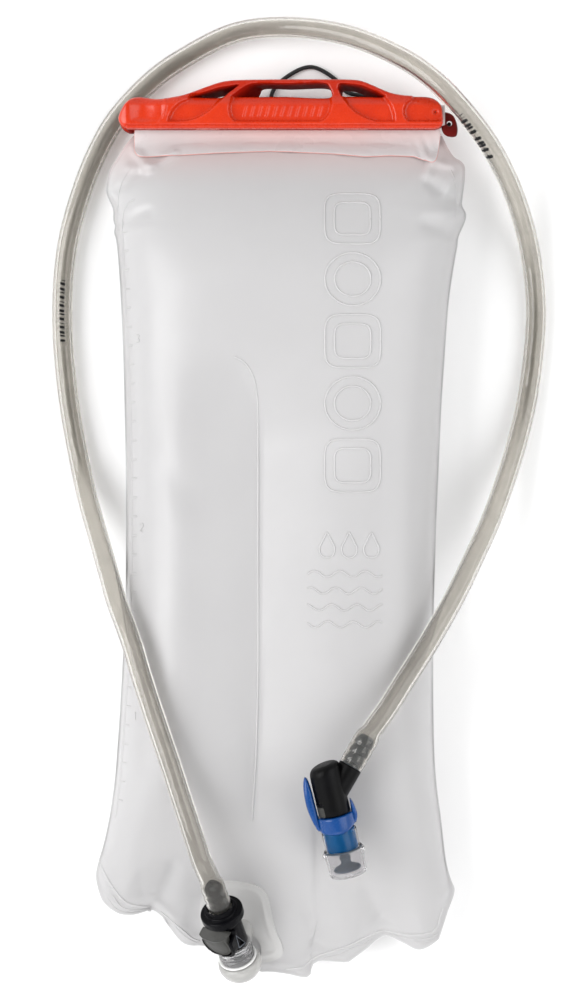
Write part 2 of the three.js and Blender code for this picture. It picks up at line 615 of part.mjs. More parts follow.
const drinking = new THREE.Group();
const biteEnd = groupAt(valveFrame);
biteEnd.add(
  part('bite_elbow', biteElbow(), 0x0e0d0f, 0.55),
  part('elbow_oring', ring(4.45, 0.42, 10), 0x141414, 0.6),
  part('shutoff_valve', shutoffValve(), 0x1f519f, 0.3),
  part('valve_core', valveCore(), 0x5f7488, 0.4),
  part('bite_valve', biteValve(), 0xcdccd2, 0.35),
);
drinking.add(part('drink_tube', drinkTube(), 0xb4a898, 0.3), biteEnd);

group.add(bag, closure, outlet, drinking);

export default group;
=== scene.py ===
"""Looks of a filled hydration bladder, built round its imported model.

Millimetres throughout, turned into metres when a mesh is made. +Z is up from the ground the bag
lies on, +Y runs to the slide closure, and the origin is the middle of the bag's flat back.
"""
import math

import bmesh
import bpy
import numpy as np
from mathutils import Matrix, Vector
from mathutils.bvhtree import BVHTree
from mathutils.geometry import delaunay_2d_cdt


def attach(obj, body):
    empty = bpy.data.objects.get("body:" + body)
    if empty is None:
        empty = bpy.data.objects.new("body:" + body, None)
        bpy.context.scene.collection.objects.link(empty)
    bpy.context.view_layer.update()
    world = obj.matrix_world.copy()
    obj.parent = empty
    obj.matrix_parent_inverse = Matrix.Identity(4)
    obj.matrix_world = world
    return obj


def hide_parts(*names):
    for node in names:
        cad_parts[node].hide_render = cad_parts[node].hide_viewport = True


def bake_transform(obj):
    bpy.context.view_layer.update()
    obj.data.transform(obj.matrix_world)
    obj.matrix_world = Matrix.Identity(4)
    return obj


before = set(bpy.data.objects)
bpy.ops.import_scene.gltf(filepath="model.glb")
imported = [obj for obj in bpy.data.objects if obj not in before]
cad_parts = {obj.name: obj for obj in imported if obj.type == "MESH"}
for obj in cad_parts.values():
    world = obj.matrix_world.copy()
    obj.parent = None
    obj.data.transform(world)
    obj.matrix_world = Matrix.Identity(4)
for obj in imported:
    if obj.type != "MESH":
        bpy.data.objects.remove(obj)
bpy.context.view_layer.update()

MM = 0.001
scene = bpy.context.scene
scene.view_settings.view_transform = "Standard"

# ------------------------------------------------------------------ places shared with the CAD
SEAM_Z = 22
OUTLET = np.array([-20.2, -193.2, 30.0])
PORT_AXIS = np.array([-0.24, 0.803, 0.545]) / np.linalg.norm([-0.24, 0.803, 0.545])
BUTTON_SIDE = np.array([-0.436, -0.59, 0.679])
NECK_END = np.array([-16.0, -168.0, 17.0])
VALVE_CENTRE = np.array([21.7, -114.7, 66.0])
VALVE_AXIS = np.array([0.222, -0.966, -0.13]) / np.linalg.norm([0.222, -0.966, -0.13])
BRANCH_AXIS = np.array([0.505, 0.861, -0.06]) / np.linalg.norm([0.505, 0.861, -0.06])
TUBE_D = 9.6
TUBE_BORE = 6.5
LEASH_D = 1.9
MOUTH_Y = 187
FILM_THICK = 0.45

TUBE_ROUTE = [
    *[OUTLET + PORT_AXIS * station for station in (34.3, 42, 50)],
    (-36.3, -142.5, 62.6), (-39.3, -133.1, 63.2), (-45.2, -115.4, 61.6), (-51.1, -97.8, 59),
    (-57.3, -80, 56.6), (-63.3, -62.2, 53.6), (-69, -44.4, 49), (-76.1, -27, 40),
    (-79.1, -18.1, 34), (-85.2, 0, 22), (-91.2, 18.4, 12), (-95.8, 37.2, 5.8), (-99.4, 56, 5),
    (-102, 75, 5),
    (-103.8, 98.4, 5), (-103.4, 122, 5), (-101, 140.7, 5), (-96, 159.6, 5), (-89, 178.4, 5),
    (-78.7, 197.2, 5), (-61.2, 216, 5), (-48, 225.4, 5.3), (-22.5, 237.5, 8), (2.8, 239.2, 13),
    (31, 233.5, 21), (56, 221, 30), (68.8, 211, 35), (78.2, 201.5, 36), (93.3, 184, 31),
    (104.3, 166.6, 22), (111.7, 149, 14), (116.5, 131, 8), (119, 107.8, 5.2), (117.5, 84.3, 5),
    (114.6, 65.4, 6), (109.9, 46.5, 9), (103.7, 27.7, 14.5), (96.3, 9.1, 22), (87.1, -9.2, 31.5),
    (77.5, -27.1, 41), (64, -48.9, 51.5), (55.2, -62, 57), (46.3, -75.4, 62),
    *[VALVE_CENTRE + BRANCH_AXIS * reach for reach in (33, 25, 17.3)],
]
LEASH_ROUTE = [
    (76.9, 192.4, 22.6), (76.8, 192.7, 17), (75.6, 193.8, 10), (72, 196.4, 4), (65, 200, 1.4),
    (52, 205, 1.2), (40, 208.6, 1.2), (29.6, 211.2, 1.2), (24.5, 217, 1.2), (13, 222.8, 1.2),
    (1, 217.6, 1.2), (-5.3, 210.2, 1.2), (-4.4, 202.6, 1.2), (4, 198.4, 1.2), (20, 197.2, 1.3),
    (40, 196.9, 1.6), (58, 197, 4), (67, 197.1, 9), (70.3, 197.2, 13.4), (70.4, 197.2, 17.2),
]


# ------------------------------------------------------------------ helpers
def smooth_step(value):
    t = np.clip(value, 0, 1)
    return t * t * (3 - 2 * t)


def through(points, spacing):
    """A smooth curve through the points, about evenly spaced (centripetal Catmull-Rom)."""
    p = np.array([np.array(q, float) for q in points])
    p = np.vstack([2 * p[0] - p[1], p, 2 * p[-1] - p[-2]])
    fine = []
    for a, b, c, d in zip(p, p[1:], p[2:], p[3:]):
        t0 = 0.0
        t1 = t0 + np.linalg.norm(b - a) ** 0.5
        t2 = t1 + np.linalg.norm(c - b) ** 0.5
        t3 = t2 + np.linalg.norm(d - c) ** 0.5
        for t in np.linspace(t1, t2, 24, endpoint=False):
            ab = ((t1 - t) * a + (t - t0) * b) / (t1 - t0)
            bc = ((t2 - t) * b + (t - t1) * c) / (t2 - t1)
            cd = ((t3 - t) * c + (t - t2) * d) / (t3 - t2)
            abc = ((t2 - t) * ab + (t - t0) * bc) / (t2 - t0)
            bcd = ((t3 - t) * bc + (t - t1) * cd) / (t3 - t1)
            fine.append(((t2 - t) * abc + (t - t1) * bcd) / (t2 - t1))
    fine.append(p[-2])
    return evenly(np.array(fine), spacing)


def run_along(line):
    """How far along the line each of its points is."""
    return np.concatenate([[0], np.cumsum(np.linalg.norm(np.diff(line, axis=0), axis=1))])


def evenly(line, spacing):
    """The same line as points about spacing apart."""
    line = np.array(line, float)
    run = run_along(line)
    at = np.linspace(0, run[-1], max(2, round(run[-1] / spacing) + 1))
    return np.stack([np.interp(at, run, line[:, k]) for k in range(line.shape[1])], axis=1)


def even_loop(loop, spacing):
    """The same closed loop as points about spacing apart."""
    return evenly(np.vstack([loop, loop[:1]]), spacing)[:-1]


def by_share(line, shares):
    """Points at shares of a flat line's length."""
    run = run_along(line)
    run /= run[-1]
    return np.stack([np.interp(shares, run, line[:, k]) for k in range(2)], axis=1)


def length_of(line):
    return float(np.linalg.norm(np.diff(line, axis=0), axis=1).sum())


def axis_frame(origin, axis, side):
    """Matrix whose local Y runs along the axis and whose local X points to the given side."""
    y = np.array(axis, float) / np.linalg.norm(axis)
    x = np.array(side, float) - y * np.dot(side, y)
    x /= np.linalg.norm(x)
    matrix = np.eye(4)
    matrix[:3, 0], matrix[:3, 1], matrix[:3, 2], matrix[:3, 3] = x, y, np.cross(x, y), origin
    return matrix


def moved(points, matrix):
    return np.array(points, float) @ matrix[:3, :3].T + matrix[:3, 3]


def piece(name, points, faces, material, body, stands_for=(), slot=None, sharp=38, matrix=None):
    """A mesh object from points in millimetres, riding on a body."""
    points = np.array(points, float)
    if matrix is not None:
        points = moved(points, matrix)
    mesh = bpy.data.meshes.new(name)
    mesh.from_pydata((points * MM).tolist(), [], [list(map(int, f)) for f in faces])
    mesh.validate()
    mesh.update()
    cleaner = bmesh.new()
    cleaner.from_mesh(mesh)
    bmesh.ops.remove_doubles(cleaner, verts=cleaner.verts, dist=1e-7)
    bmesh.ops.recalc_face_normals(cleaner, faces=cleaner.faces)
    cleaner.to_mesh(mesh)
    cleaner.free()
    mesh.shade_smooth()
    mesh.set_sharp_from_angle(angle=math.radians(sharp))
    made = bpy.data.objects.new(name, mesh)
    scene.collection.objects.link(made)
    made.data.materials.append(material)
    if body:
        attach(made, body)
    if stands_for:
        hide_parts(*stands_for)
    return made


def joined(*parts):
    """Points and faces of several meshes as one."""
    points, faces = [], []
    for some, their in parts:
        base = len(points)
        points.extend(np.array(some, float).tolist())
        faces.extend([[k + base for k in face] for face in their])
    return np.array(points), faces


def band(first, second, count):
    """Quads between two closed rings of count points, given where each ring starts."""
    return [(first + k, first + (k + 1) % count, second + (k + 1) % count, second + k)
            for k in range(count)]


def grid_faces(rows, columns, around=False):
    """Quads of a grid of rows by columns points; around joins the last column to the first."""
    quads = []
    for row in range(rows - 1):
        strip = band(row * columns, (row + 1) * columns, columns)
        quads += strip if around else strip[:-1]
    return quads


def end_caps(rows, columns):
    """First and last row of a grid whose rows are closed rings, each as one face."""
    last = (rows - 1) * columns
    return [tuple(range(columns)), tuple(range(last, last + columns))]


def tube_mesh(line, radii, sides, bores=None):
    """Round tube along a line, solid or with a bore, with flat ends."""
    line = np.array(line, float)
    tangent = np.gradient(line, axis=0)
    tangent /= np.linalg.norm(tangent, axis=1)[:, None]
    side = np.cross(tangent[0], [0, 0, 1] if abs(tangent[0][2]) < 0.9 else [1, 0, 0])
    rings, bore_rings = [], []
    turn = np.linspace(0, 2 * math.pi, sides, endpoint=False)
    for k, (point, along) in enumerate(zip(line, tangent)):
        side = side - along * np.dot(side, along)
        side /= np.linalg.norm(side)
        up = np.cross(side, along)
        ring = np.cos(turn)[:, None] * side + np.sin(turn)[:, None] * up
        rings.append(point + ring * radii[k])
        if bores is not None:
            bore_rings.append(point + ring * bores[k])
    count = len(line)
    points = np.concatenate(rings + bore_rings)
    faces = grid_faces(count, sides, around=True)
    if bores is None:
        return points, faces + end_caps(count, sides)
    inner = count * sides
    faces += [tuple(inner + k for k in face) for face in faces]
    for end in (0, inner - sides):
        faces += band(end, inner + end, sides)
    return points, faces


def rounded(profile, radius, steps=3, ring=False):
    """A profile of [radius, station] points with its corners rounded off."""
    p = [np.array(q, float) for q in profile]
    out = []
    count = len(p)
    for k, corner in enumerate(p):
        if not ring and k in (0, count - 1):
            out.append(corner)
            continue
        before, after = p[k - 1], p[(k + 1) % count]
        back, on = np.linalg.norm(before - corner), np.linalg.norm(after - corner)
        reach = min(radius, back * 0.45, on * 0.45)
        if reach < 0.02:
            out.append(corner)
            continue
        a = corner + (before - corner) / back * reach
        b = corner + (after - corner) / on * reach
        for t in np.linspace(0, 1, steps + 1):
            out.append((1 - t) ** 2 * a + 2 * t * (1 - t) * corner + t * t * b)
    return np.array(out)


def turned(profile, segments, corner, steps=3):
    """Round solid about the local Y axis; a profile off the axis closes on itself."""
    on_axis = profile[0][0] < 1e-6
    line = rounded(profile, corner, steps, ring=not on_axis)
    turn = np.linspace(0, 2 * math.pi, segments, endpoint=False)
    points = [(r * math.cos(a), s, r * math.sin(a)) for r, s in line for a in turn]
    faces = grid_faces(len(line), segments, around=True)
    if not on_axis:
        faces += band((len(line) - 1) * segments, 0, segments)
    return np.array(points), faces


def triangulated(outline, spacing, holes=(), room=0.45):
    """Flat mesh inside an outline, with points of the inside about spacing apart."""
    loops = [np.array(outline, float)] + [np.array(h, float) for h in holes]
    border = np.concatenate(loops)
    low, high = border.min(0), border.max(0)
    rows = np.arange(low[1] + spacing / 2, high[1], spacing * 0.866)
    inside = []
    for k, y in enumerate(rows):
        shift = spacing / 2 if k % 2 else 0
        for x in np.arange(low[0] + shift, high[0], spacing):
            inside.append((x, y))
    inside = np.array(inside)
    inside = inside[between(loops, inside)]
    inside = inside[distance_to(loops, inside) > spacing * room]
    edges, base = [], 0
    for loop in loops:
        count = len(loop)
        edges += [(base + k, base + (k + 1) % count) for k in range(count)]
        base += count
    every = np.concatenate([border, inside])
    points, _, faces, *_ = delaunay_2d_cdt([Vector(p) for p in every], edges, [], 1, 1e-6)
    flat = np.array([tuple(p) for p in points])
    middles = np.array([flat[list(f)].mean(0) for f in faces])
    return flat, [tuple(f) for f, wanted in zip(faces, between(loops, middles)) if wanted]


def contains(loop, points):
    """Which points lie inside a closed loop."""
    inside = np.zeros(len(points), bool)
    x, y = points[:, 0], points[:, 1]
    for (ax, ay), (bx, by) in zip(loop, np.roll(loop, -1, axis=0)):
        crosses = (ay > y) != (by > y)
        with np.errstate(divide="ignore", invalid="ignore"):
            inside ^= crosses & (x < (bx - ax) * (y - ay) / (by - ay) + ax)
    return inside


def between(loops, points):
    """Which points lie inside the first loop and outside the others."""
    keep = contains(loops[0], points)
    for hole in loops[1:]:
        keep &= ~contains(hole, points)
    return keep


def distance_to(loops, points, closed=True):
    """Distance of each point to the nearest stretch of the loops."""
    best = np.full(len(points), np.inf)
    for loop in loops:
        a = np.array(loop, float)
        b = np.roll(a, -1, axis=0) if closed else a[1:]
        a = a if closed else a[:-1]
        for p, q in zip(a, b):
            along = q - p
            size = max(along @ along, 1e-12)
            t = np.clip(((points - p) @ along) / size, 0, 1)
            best = np.minimum(best, np.linalg.norm(points - (p + t[:, None] * along), axis=1))
    return best


def shell(points, faces, thickness):
    """The mesh given a thickness against its normals, as points in millimetres and faces."""
    mesh = bpy.data.meshes.new("shell")
    mesh.from_pydata(np.array(points, float).tolist(), [], [list(map(int, f)) for f in faces])
    mesh.validate()
    holder = bpy.data.objects.new("shell", mesh)
    scene.collection.objects.link(holder)
    solid = holder.modifiers.new("thickness", "SOLIDIFY")
    solid.thickness = thickness
    solid.offset = -1
    result = holder.evaluated_get(bpy.context.evaluated_depsgraph_get()).data
    out = [tuple(v.co) for v in result.vertices], [tuple(f.vertices) for f in result.polygons]
    bpy.data.objects.remove(holder)
    bpy.data.meshes.remove(mesh)
    return out


def soft_edge(distance, radius):
    """How far a face drops near an edge rounded to the radius."""
    left = np.clip(radius - distance, 0, radius)
    return radius - np.sqrt(np.maximum(radius**2 - left**2, 0))


def slab(outline, low, high, edge=0.5, holes=(), spacing=0.7, room=0.45):
    """Closed plate between two heights or functions of x and y, its edges rounded."""
    loops = [even_loop(np.array(loop), spacing) for loop in (outline, *holes)]
    flat, faces = triangulated(loops[0], spacing, loops[1:], room)
    drop = soft_edge(distance_to(loops, flat), edge)

    def level(face):
        return face(flat[:, 0], flat[:, 1]) if callable(face) else face

    top = np.column_stack([flat, level(high) - drop])
    under = np.column_stack([flat, level(low) + drop])
    count = len(flat)
    every = list(faces) + [tuple(k + count for k in face[::-1]) for face in faces]
    base = 0
    for loop in loops:
        every += band(base, base + count, len(loop))
        base += len(loop)
    return np.vstack([top, under]), every


def circle(x, y, radius, count=28):
    turn = np.linspace(0, 2 * math.pi, count, endpoint=False)
    return np.column_stack([x + radius * np.cos(turn), y + radius * np.sin(turn)])


def smooth_loop(points, spacing=0.6):
    """Closed smooth curve through the points."""
    p = list(points)
    line = through([p[-2], p[-1], *p, p[0], p[1]], spacing)
    # The curve passes the first point twice, once in each half.
    half = len(line) // 2
    away = np.linalg.norm(line - np.array(p[0]), axis=1)
    return line[np.argmin(away[:half]):half + np.argmin(away[half:])]


def combine(target, points, faces, operation, matrix=None, sharp=38):
    """Cut a closed mesh out of a piece, or add it to the piece."""
    tool = piece("combining", points, faces, target.data.materials[0], None, matrix=matrix)
    change = target.modifiers.new("combine", "BOOLEAN")
    change.operation = operation
    change.solver = "EXACT"
    change.object = tool
    result = bpy.data.meshes.new_from_object(
        target.evaluated_get(bpy.context.evaluated_depsgraph_get()))
    target.modifiers.clear()
    target.data = result
    result.shade_smooth()
    result.set_sharp_from_angle(angle=math.radians(sharp))
    bpy.data.objects.remove(tool)


def extruded(outline, low, high):
    """Plain prism over an outline in the XY plane."""
    count = len(outline)
    points = [(x, y, z) for z in (low, high) for x, y in outline]
    return points, grid_faces(2, count, around=True) + end_caps(2, count)


def arc_pad(inner, outer, stations, angles, corner=0.25):
    """Piece of a round wall about local Y between two stations and two angles in degrees."""
    middle = math.radians(sum(angles) / 2)
    half = math.radians(abs(angles[1] - angles[0]) / 2) * outer
    low, high = stations
    flat = [(-half, low), (half, low), (half, high), (-half, high)]
    ring = rounded(flat, corner * 3, 3, ring=True)
    points, faces = slab(ring, inner, outer, corner, (), 0.5, 0.2)
    turn = middle - points[:, 0] / outer
    x, z = points[:, 2] * np.cos(turn), points[:, 2] * np.sin(turn)
    return np.column_stack([x, points[:, 1], z]), faces


# ------------------------------------------------------------------ materials
class Nodes:
    """A node tree with short calls for what the materials here need."""

    def __init__(self, owner, shader="Principled BSDF", place="Object"):
        owner.use_nodes = True
        self.tree = owner.node_tree
        self.shader = self.tree.nodes[shader]
        self.place = self.add("ShaderNodeTexCoord").outputs[place]

    def add(self, kind, **settings):
        node = self.tree.nodes.new(kind)
        for key, value in settings.items():
            setattr(node, key, value)
        return node

    def put(self, inputs, names, values):
        """Gives each input its value: a link, a number, a vector or a colour."""
        for name, value in zip(names, values):
            if isinstance(value, bpy.types.NodeSocket):
                self.tree.links.new(value, inputs[name])
            elif inputs[name].type == "RGBA":
                inputs[name].default_value = (*value, 1)
            else:
                inputs[name].default_value = value

    def surface(self, settings):
        """Gives the shader its inputs."""
        self.put(self.shader.inputs, settings.keys(), settings.values())

    def noise(self, scale, detail, roughness=0.5):
        node = self.add("ShaderNodeTexNoise")
        self.put(node.inputs, ("Vector", "Scale", "Detail", "Roughness"),
                 (self.place, scale, detail, roughness))
        return node.outputs["Fac"]

    def range(self, value, low, high, to_low, to_high, kind="LINEAR"):
        node = self.add("ShaderNodeMapRange", interpolation_type=kind)
        self.put(node.inputs, ("Value", "From Min", "From Max", "To Min", "To Max"),
                 (value, low, high, to_low, to_high))
        return node.outputs["Result"]

    def axis(self, name):
        node = self.add("ShaderNodeSeparateXYZ")
        self.put(node.inputs, ["Vector"], [self.place])
        return node.outputs[name]

    def mix(self, amount, first, second):
        node = self.add("ShaderNodeMix", data_type="RGBA")
        # Inputs 6 and 7 are the node's two colours.
        self.put(node.inputs, ("Factor", 6, 7), (amount, first, second))
        return node.outputs[2]

    def math(self, operation, first, second=0.0):
        node = self.add("ShaderNodeMath", operation=operation)
        self.put(node.inputs, (0, 1), (first, second))
        return node.outputs[0]

    def times(self, first, second):
        return self.math("MULTIPLY", first, second)

    def within(self, value, low, high):
        return self.times(self.math("GREATER_THAN", value, low),
                          self.math("LESS_THAN", value, high))

    def attribute(self, name):
        return self.add("ShaderNodeAttribute", attribute_name=name).outputs["Fac"]

    def bump(self, height, strength, distance, under=None):
        node = self.add("ShaderNodeBump")
        self.put(node.inputs, ("Height", "Strength", "Distance"), (height, strength, distance))
        if under is not None:
            self.put(node.inputs, ["Normal"], [under])
        return node.outputs["Normal"]


def srgb(red, green, blue):
    """Linear colour of an 8-bit sRGB one."""
    def linear(value):
        c = value / 255
        return c / 12.92 if c <= 0.04045 else ((c + 0.055) / 1.055) ** 2.4
    return tuple(linear(v) for v in (red, green, blue))


def film_material(name, colour, painted_glow=0.0, roughness=0.36, near_to=(0.160, 0.186),
                  sides=False):
    """Milky welded film: faint clouding, a matte press pattern and a painted pink glow of the
    closure's light near it.
    """
    material = bpy.data.materials.new(name)
    n = Nodes(material)
    cloud = n.range(n.noise(14, 4), 0.35, 0.65, 0, 1)
    base = n.mix(cloud, tuple(c * 0.97 for c in colour), tuple(min(1, c * 1.02) for c in colour))
    # Painted pink glow: the orange closure's light, coloured into the film near it, weaker at the
    # sides of the fold.
    if painted_glow:
        near = n.range(n.axis("Y"), *near_to, 0, painted_glow, "SMOOTHSTEP")
        if sides:
            near = n.times(near, n.range(n.axis("X"), -0.065, -0.01, 0.25, 1))
            near = n.times(near, n.range(n.axis("X"), 0.02, 0.07, 1, 0.5))
        base = n.mix(near, base, srgb(232, 176, 170))
    soft = n.bump(n.noise(45, 2), 0.25, 0.0006)
    n.surface({
        "Base Color": base,
        "Roughness": n.range(n.noise(60, 3), 0.3, 0.7, roughness - 0.05, roughness + 0.07),
        "Normal": n.bump(n.noise(2600, 2), 0.25, 0.00003, soft),
        "Subsurface Weight": 0.3, "Subsurface Radius": (0.012, 0.012, 0.012),
        "Subsurface Scale": 1.0, "IOR": 1.45,
    })
    return material


def plastic_material(name, colour, dark, roughness, grain=0.15, grain_scale=2200, coat=0.0,
                     soft=0.0, specular=0.5, shade=None, painted_recess_shade=None):
    """Moulded plastic: flow clouding, a fine mould texture and slightly uneven gloss.

    Painted shade: the two darkening triples, along Y and along Z, give where from, where to, and
    the shaded colour there.
    """
    material = bpy.data.materials.new(name)
    n = Nodes(material)
    base = n.mix(n.range(n.noise(90, 4, 0.6), 0.3, 0.7, 0, 1), dark, colour)
    # Painted shade: the colour darkens towards one end along Y or along Z.
    for axis, darker, most in (("Y", shade, 0.55), ("Z", painted_recess_shade, 0.9)):
        if darker:
            start, end, deep = darker
            base = n.mix(n.range(n.axis(axis), start, end, 0, most, "SMOOTHSTEP"), base, deep)
    wave = n.bump(n.noise(120, 2), 0.12, 0.0004)
    n.surface({
        "Base Color": base,
        "Roughness": n.range(n.noise(300, 4, 0.65), 0.25, 0.75, roughness * 0.8, roughness * 1.25),
        "Normal": n.bump(n.noise(grain_scale, 3, 0.6), grain, 0.00008, wave),
        "Specular IOR Level": specular, "Coat Weight": coat, "Coat Roughness": 0.12,
    })
    if soft:
        n.surface({"Subsurface Weight": soft, "Subsurface Radius": (0.004, 0.0015, 0.001),
                   "Subsurface Scale": 1.0})
    return material


def clear_material(name, colour, roughness, transmission, ior=1.45, specular=0.5):
    """See-through plastic or rubber, with faint streaks from its moulding or extrusion."""
    material = bpy.data.materials.new(name)
    n = Nodes(material)
    cloud = n.range(n.noise(140, 3), 0.3, 0.7, 0, 1)
    n.surface({
        "Base Color": n.mix(cloud, tuple(c * 0.93 for c in colour), colour),
        "Roughness": n.range(n.noise(60, 3), 0.3, 0.7, roughness * 0.8, roughness * 1.25),
        "Normal": n.bump(n.noise(260, 2), 0.01, 0.00005),
        "Specular IOR Level": specular, "Transmission Weight": transmission, "IOR": ior,
    })
    return material


# Near the closure the films carry a painted pink glow of its orange light.
FILM = film_material("film", (0.56, 0.553, 0.558), painted_glow=0.3)
FOLD_FILM = film_material("fold_film", (0.635, 0.628, 0.632), 0.65, 0.28, (0.1785, 0.189),
                          sides=True)
# Painted glow of the closure's light along the flap's cut edge.
EDGE_GLOW_FILM = film_material("fold_edge_painted_glow", srgb(222, 158, 152), 0.0, 0.3)
PAD_FILM = film_material("pad_film", (0.615, 0.608, 0.6), 0.0, 0.16)
CLEAR = clear_material("clear_tpu", (0.9, 0.9, 0.92), 0.07, 0.94, 1.42)
MILKY = clear_material("milky_tpu", (0.52, 0.515, 0.50), 0.16, 0.3, 1.45)
# Whitish clear plastic of the outlet's flange: its brightness is a painted highlight.
CLEAR_PAINTED_HIGHLIGHT = clear_material("port_rim_painted_highlight", (0.92, 0.92, 0.91), 0.1, 0.2, 1.4)
CUFF = clear_material("clear_cuff", (1.0, 1.0, 1.0), 0.03, 1.0, 1.12)
SILICONE = clear_material("clear_silicone", (0.86, 0.85, 0.86), 0.16, 0.95, 1.13)
BLUE_CLEAR = clear_material("blue_translucent", (0.0, 0.068, 0.205), 0.1, 0.06, 1.45, 0.2)
HAZE = clear_material("core_slate", (0.008, 0.03, 0.06), 0.35, 0.05, 1.4, 0.05)
# Painted shade: the slider's colour darkens towards the upper edge of its front, where the face
# rolls back.
ORANGE = plastic_material("orange_plastic", srgb(201, 49, 10), srgb(190, 42, 9), 0.27, 0.03,
                          coat=0.22, soft=0.03, specular=0.3,
                          shade=(0.1985, 0.2075, srgb(146, 20, 8)))
# Darker copy of the orange for the walls of the windows and rim: painted shade, darkest where they
# lie lowest.
ORANGE_PAINTED_SHADE = plastic_material("orange_walls_painted_shade", srgb(158, 25, 10), srgb(146, 21, 9), 0.5, 0.05,
                               specular=0.03, painted_recess_shade=(0.0285, 0.0205, srgb(120, 14, 7)))
DARK_RED = plastic_material("dark_red_plastic", srgb(108, 16, 9), srgb(88, 12, 8), 0.4, 0.12,
                            specular=0.15)
BLACK = plastic_material("black_plastic", (0.004, 0.004, 0.005), (0.002, 0.002, 0.003), 0.24,
                         0.1, 1500, specular=0.07)
SATIN_BLACK = plastic_material("elbow_plastic", (0.002, 0.002, 0.003), (0.001, 0.001, 0.001),
                               0.38, 1.0, 1300, specular=0.11)
GREY = plastic_material("grey_plastic", srgb(62, 62, 60), srgb(51, 51, 49), 0.42, 0.3, 1800,
                        specular=0.2)
BLUE = plastic_material("blue_plastic", (0.003, 0.058, 0.24), (0.002, 0.045, 0.19), 0.26, 0.08,
                        coat=0.2, specular=0.3)
SLATE = plastic_material("slate_plastic", srgb(78, 84, 92), srgb(62, 68, 76), 0.4, 0.2)
RUBBER = plastic_material("seal_rubber", (0.016, 0.016, 0.016), (0.009, 0.009, 0.009), 0.55, 0.3)
STEEL = plastic_material("spring_steel", (0.62, 0.62, 0.63), (0.5, 0.5, 0.51), 0.25, 0.1)
STEEL.node_tree.nodes["Principled BSDF"].inputs["Metallic"].default_value = 1.0
WHITE = plastic_material("white_plastic", (0.75, 0.75, 0.74), (0.7, 0.7, 0.69), 0.4, 0.15)
CORD = plastic_material("black_cord", (0.012, 0.012, 0.013), (0.004, 0.004, 0.005), 0.6, 0.8, 900)
INK = (0.012, 0.012, 0.013)

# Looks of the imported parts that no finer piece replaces.
for node, material in (("baffle", FILM), ("button_spring", STEEL), ("poppet_spring", STEEL)):
    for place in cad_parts[node].material_slots:
        place.material = material


# ------------------------------------------------------------------ camera
# Straight above the picture's middle.
CAMERA = (3.45, 18.4, 1130)


def make_camera():
    camera = bpy.data.cameras.new("camera")
    camera.lens = 86.09
    camera.sensor_width = 36
    camera.clip_end = 10
    holder = bpy.data.objects.new("camera", camera)
    holder.location = [c * MM for c in CAMERA]
    scene.collection.objects.link(holder)
    scene.camera = holder


# ------------------------------------------------------------------ bite valve
VALVE = axis_frame(VALVE_CENTRE, VALVE_AXIS, np.cross(VALVE_AXIS, [0, 0, 1]))
BRANCH = axis_frame(VALVE_CENTRE, BRANCH_AXIS, [0, 0, 1])
OUTLET_FRAME = axis_frame(OUTLET, PORT_AXIS, BUTTON_SIDE)


BARB_PITCH = 4.4


def barb(start, foot, length=15.5):
    """Profile of a hose barb with three saw-tooth rings."""
    profile = [(foot, start)]
    for k in range(3):
        ring = start + 1.6 + k * BARB_PITCH
        profile += [(3.5, ring), (4.42, ring + 0.4), (4.38, ring + 1.3)]
    end = start + length
    return [*profile, (3.7, end - 1.6), (3.1, end - 0.5), (2.2, end)]


def seal(name, radius, station, body, node, matrix, segments=48, thick=0.42):
    """Rubber ring round the local Y axis."""
    piece(name, *turned(circle(radius, station, thick, 12), segments, 0.01, 1), RUBBER, body,
          [node], "seal_rubber", 60, matrix)


def make_elbow():
    points, faces = turned([
        (0, -16.4), (4.4, -16.3), (5.9, -15.7), (6.8, -14.6), (7.15, -13), (7.2, -11), (7.2, -4),
        (7.2, 2), (7.2, 6.4), (4.6, 6.5), (4.6, 9.2), (3.8, 9.3), (3.8, 10.7), (4.6, 10.8),
        (4.6, 13.4), (0, 13.5)], 96, 0.5)
    # Its closed end slopes, and its sides are a little flattened towards it.
    lean = smooth_step((-6 - points[:, 1]) / 9)
    points[:, 1] += 0.15 * points[:, 0] * lean
    body = piece("elbow_body", points, faces, SATIN_BLACK, "reservoir", ["bite_elbow"],
                 "black_plastic", 32, VALVE)
    combine(body, *turned([(0, 0), (5.4, 0), (5.4, 16.6), (5.1, 17), (4.4, 17), (0, 17)], 80, 0.2),
            "UNION", BRANCH, 32)
    # The barb is black plastic; its slate grey is painted light, standing in for the light the
    # milky tube scatters over it.
    piece("elbow_barb", *turned([(0, 16.8), *barb(16.9, 4.2, 15.6), (0, 32.5)], 64, 0.15), SLATE,
          "reservoir", ["bite_elbow"], "black_plastic", 30, BRANCH)
    seal("elbow_seal", 4.45, 10, "reservoir", "elbow_oring", VALVE)
    # Grey stop of the twist, let into the elbow above the collar.
    piece("elbow_stop", *arc_pad(6.6, 7.45, (1.6, 6.3), (17, 54)), GREY, "reservoir",
          ["bite_elbow"], "grey_plastic", 40, VALVE)
    piece("elbow_notch", *arc_pad(6.8, 7.5, (0.2, 1.1), (10, 58), 0.2), BLACK, "reservoir",
          ["bite_elbow"], "black_plastic", 40, VALVE)


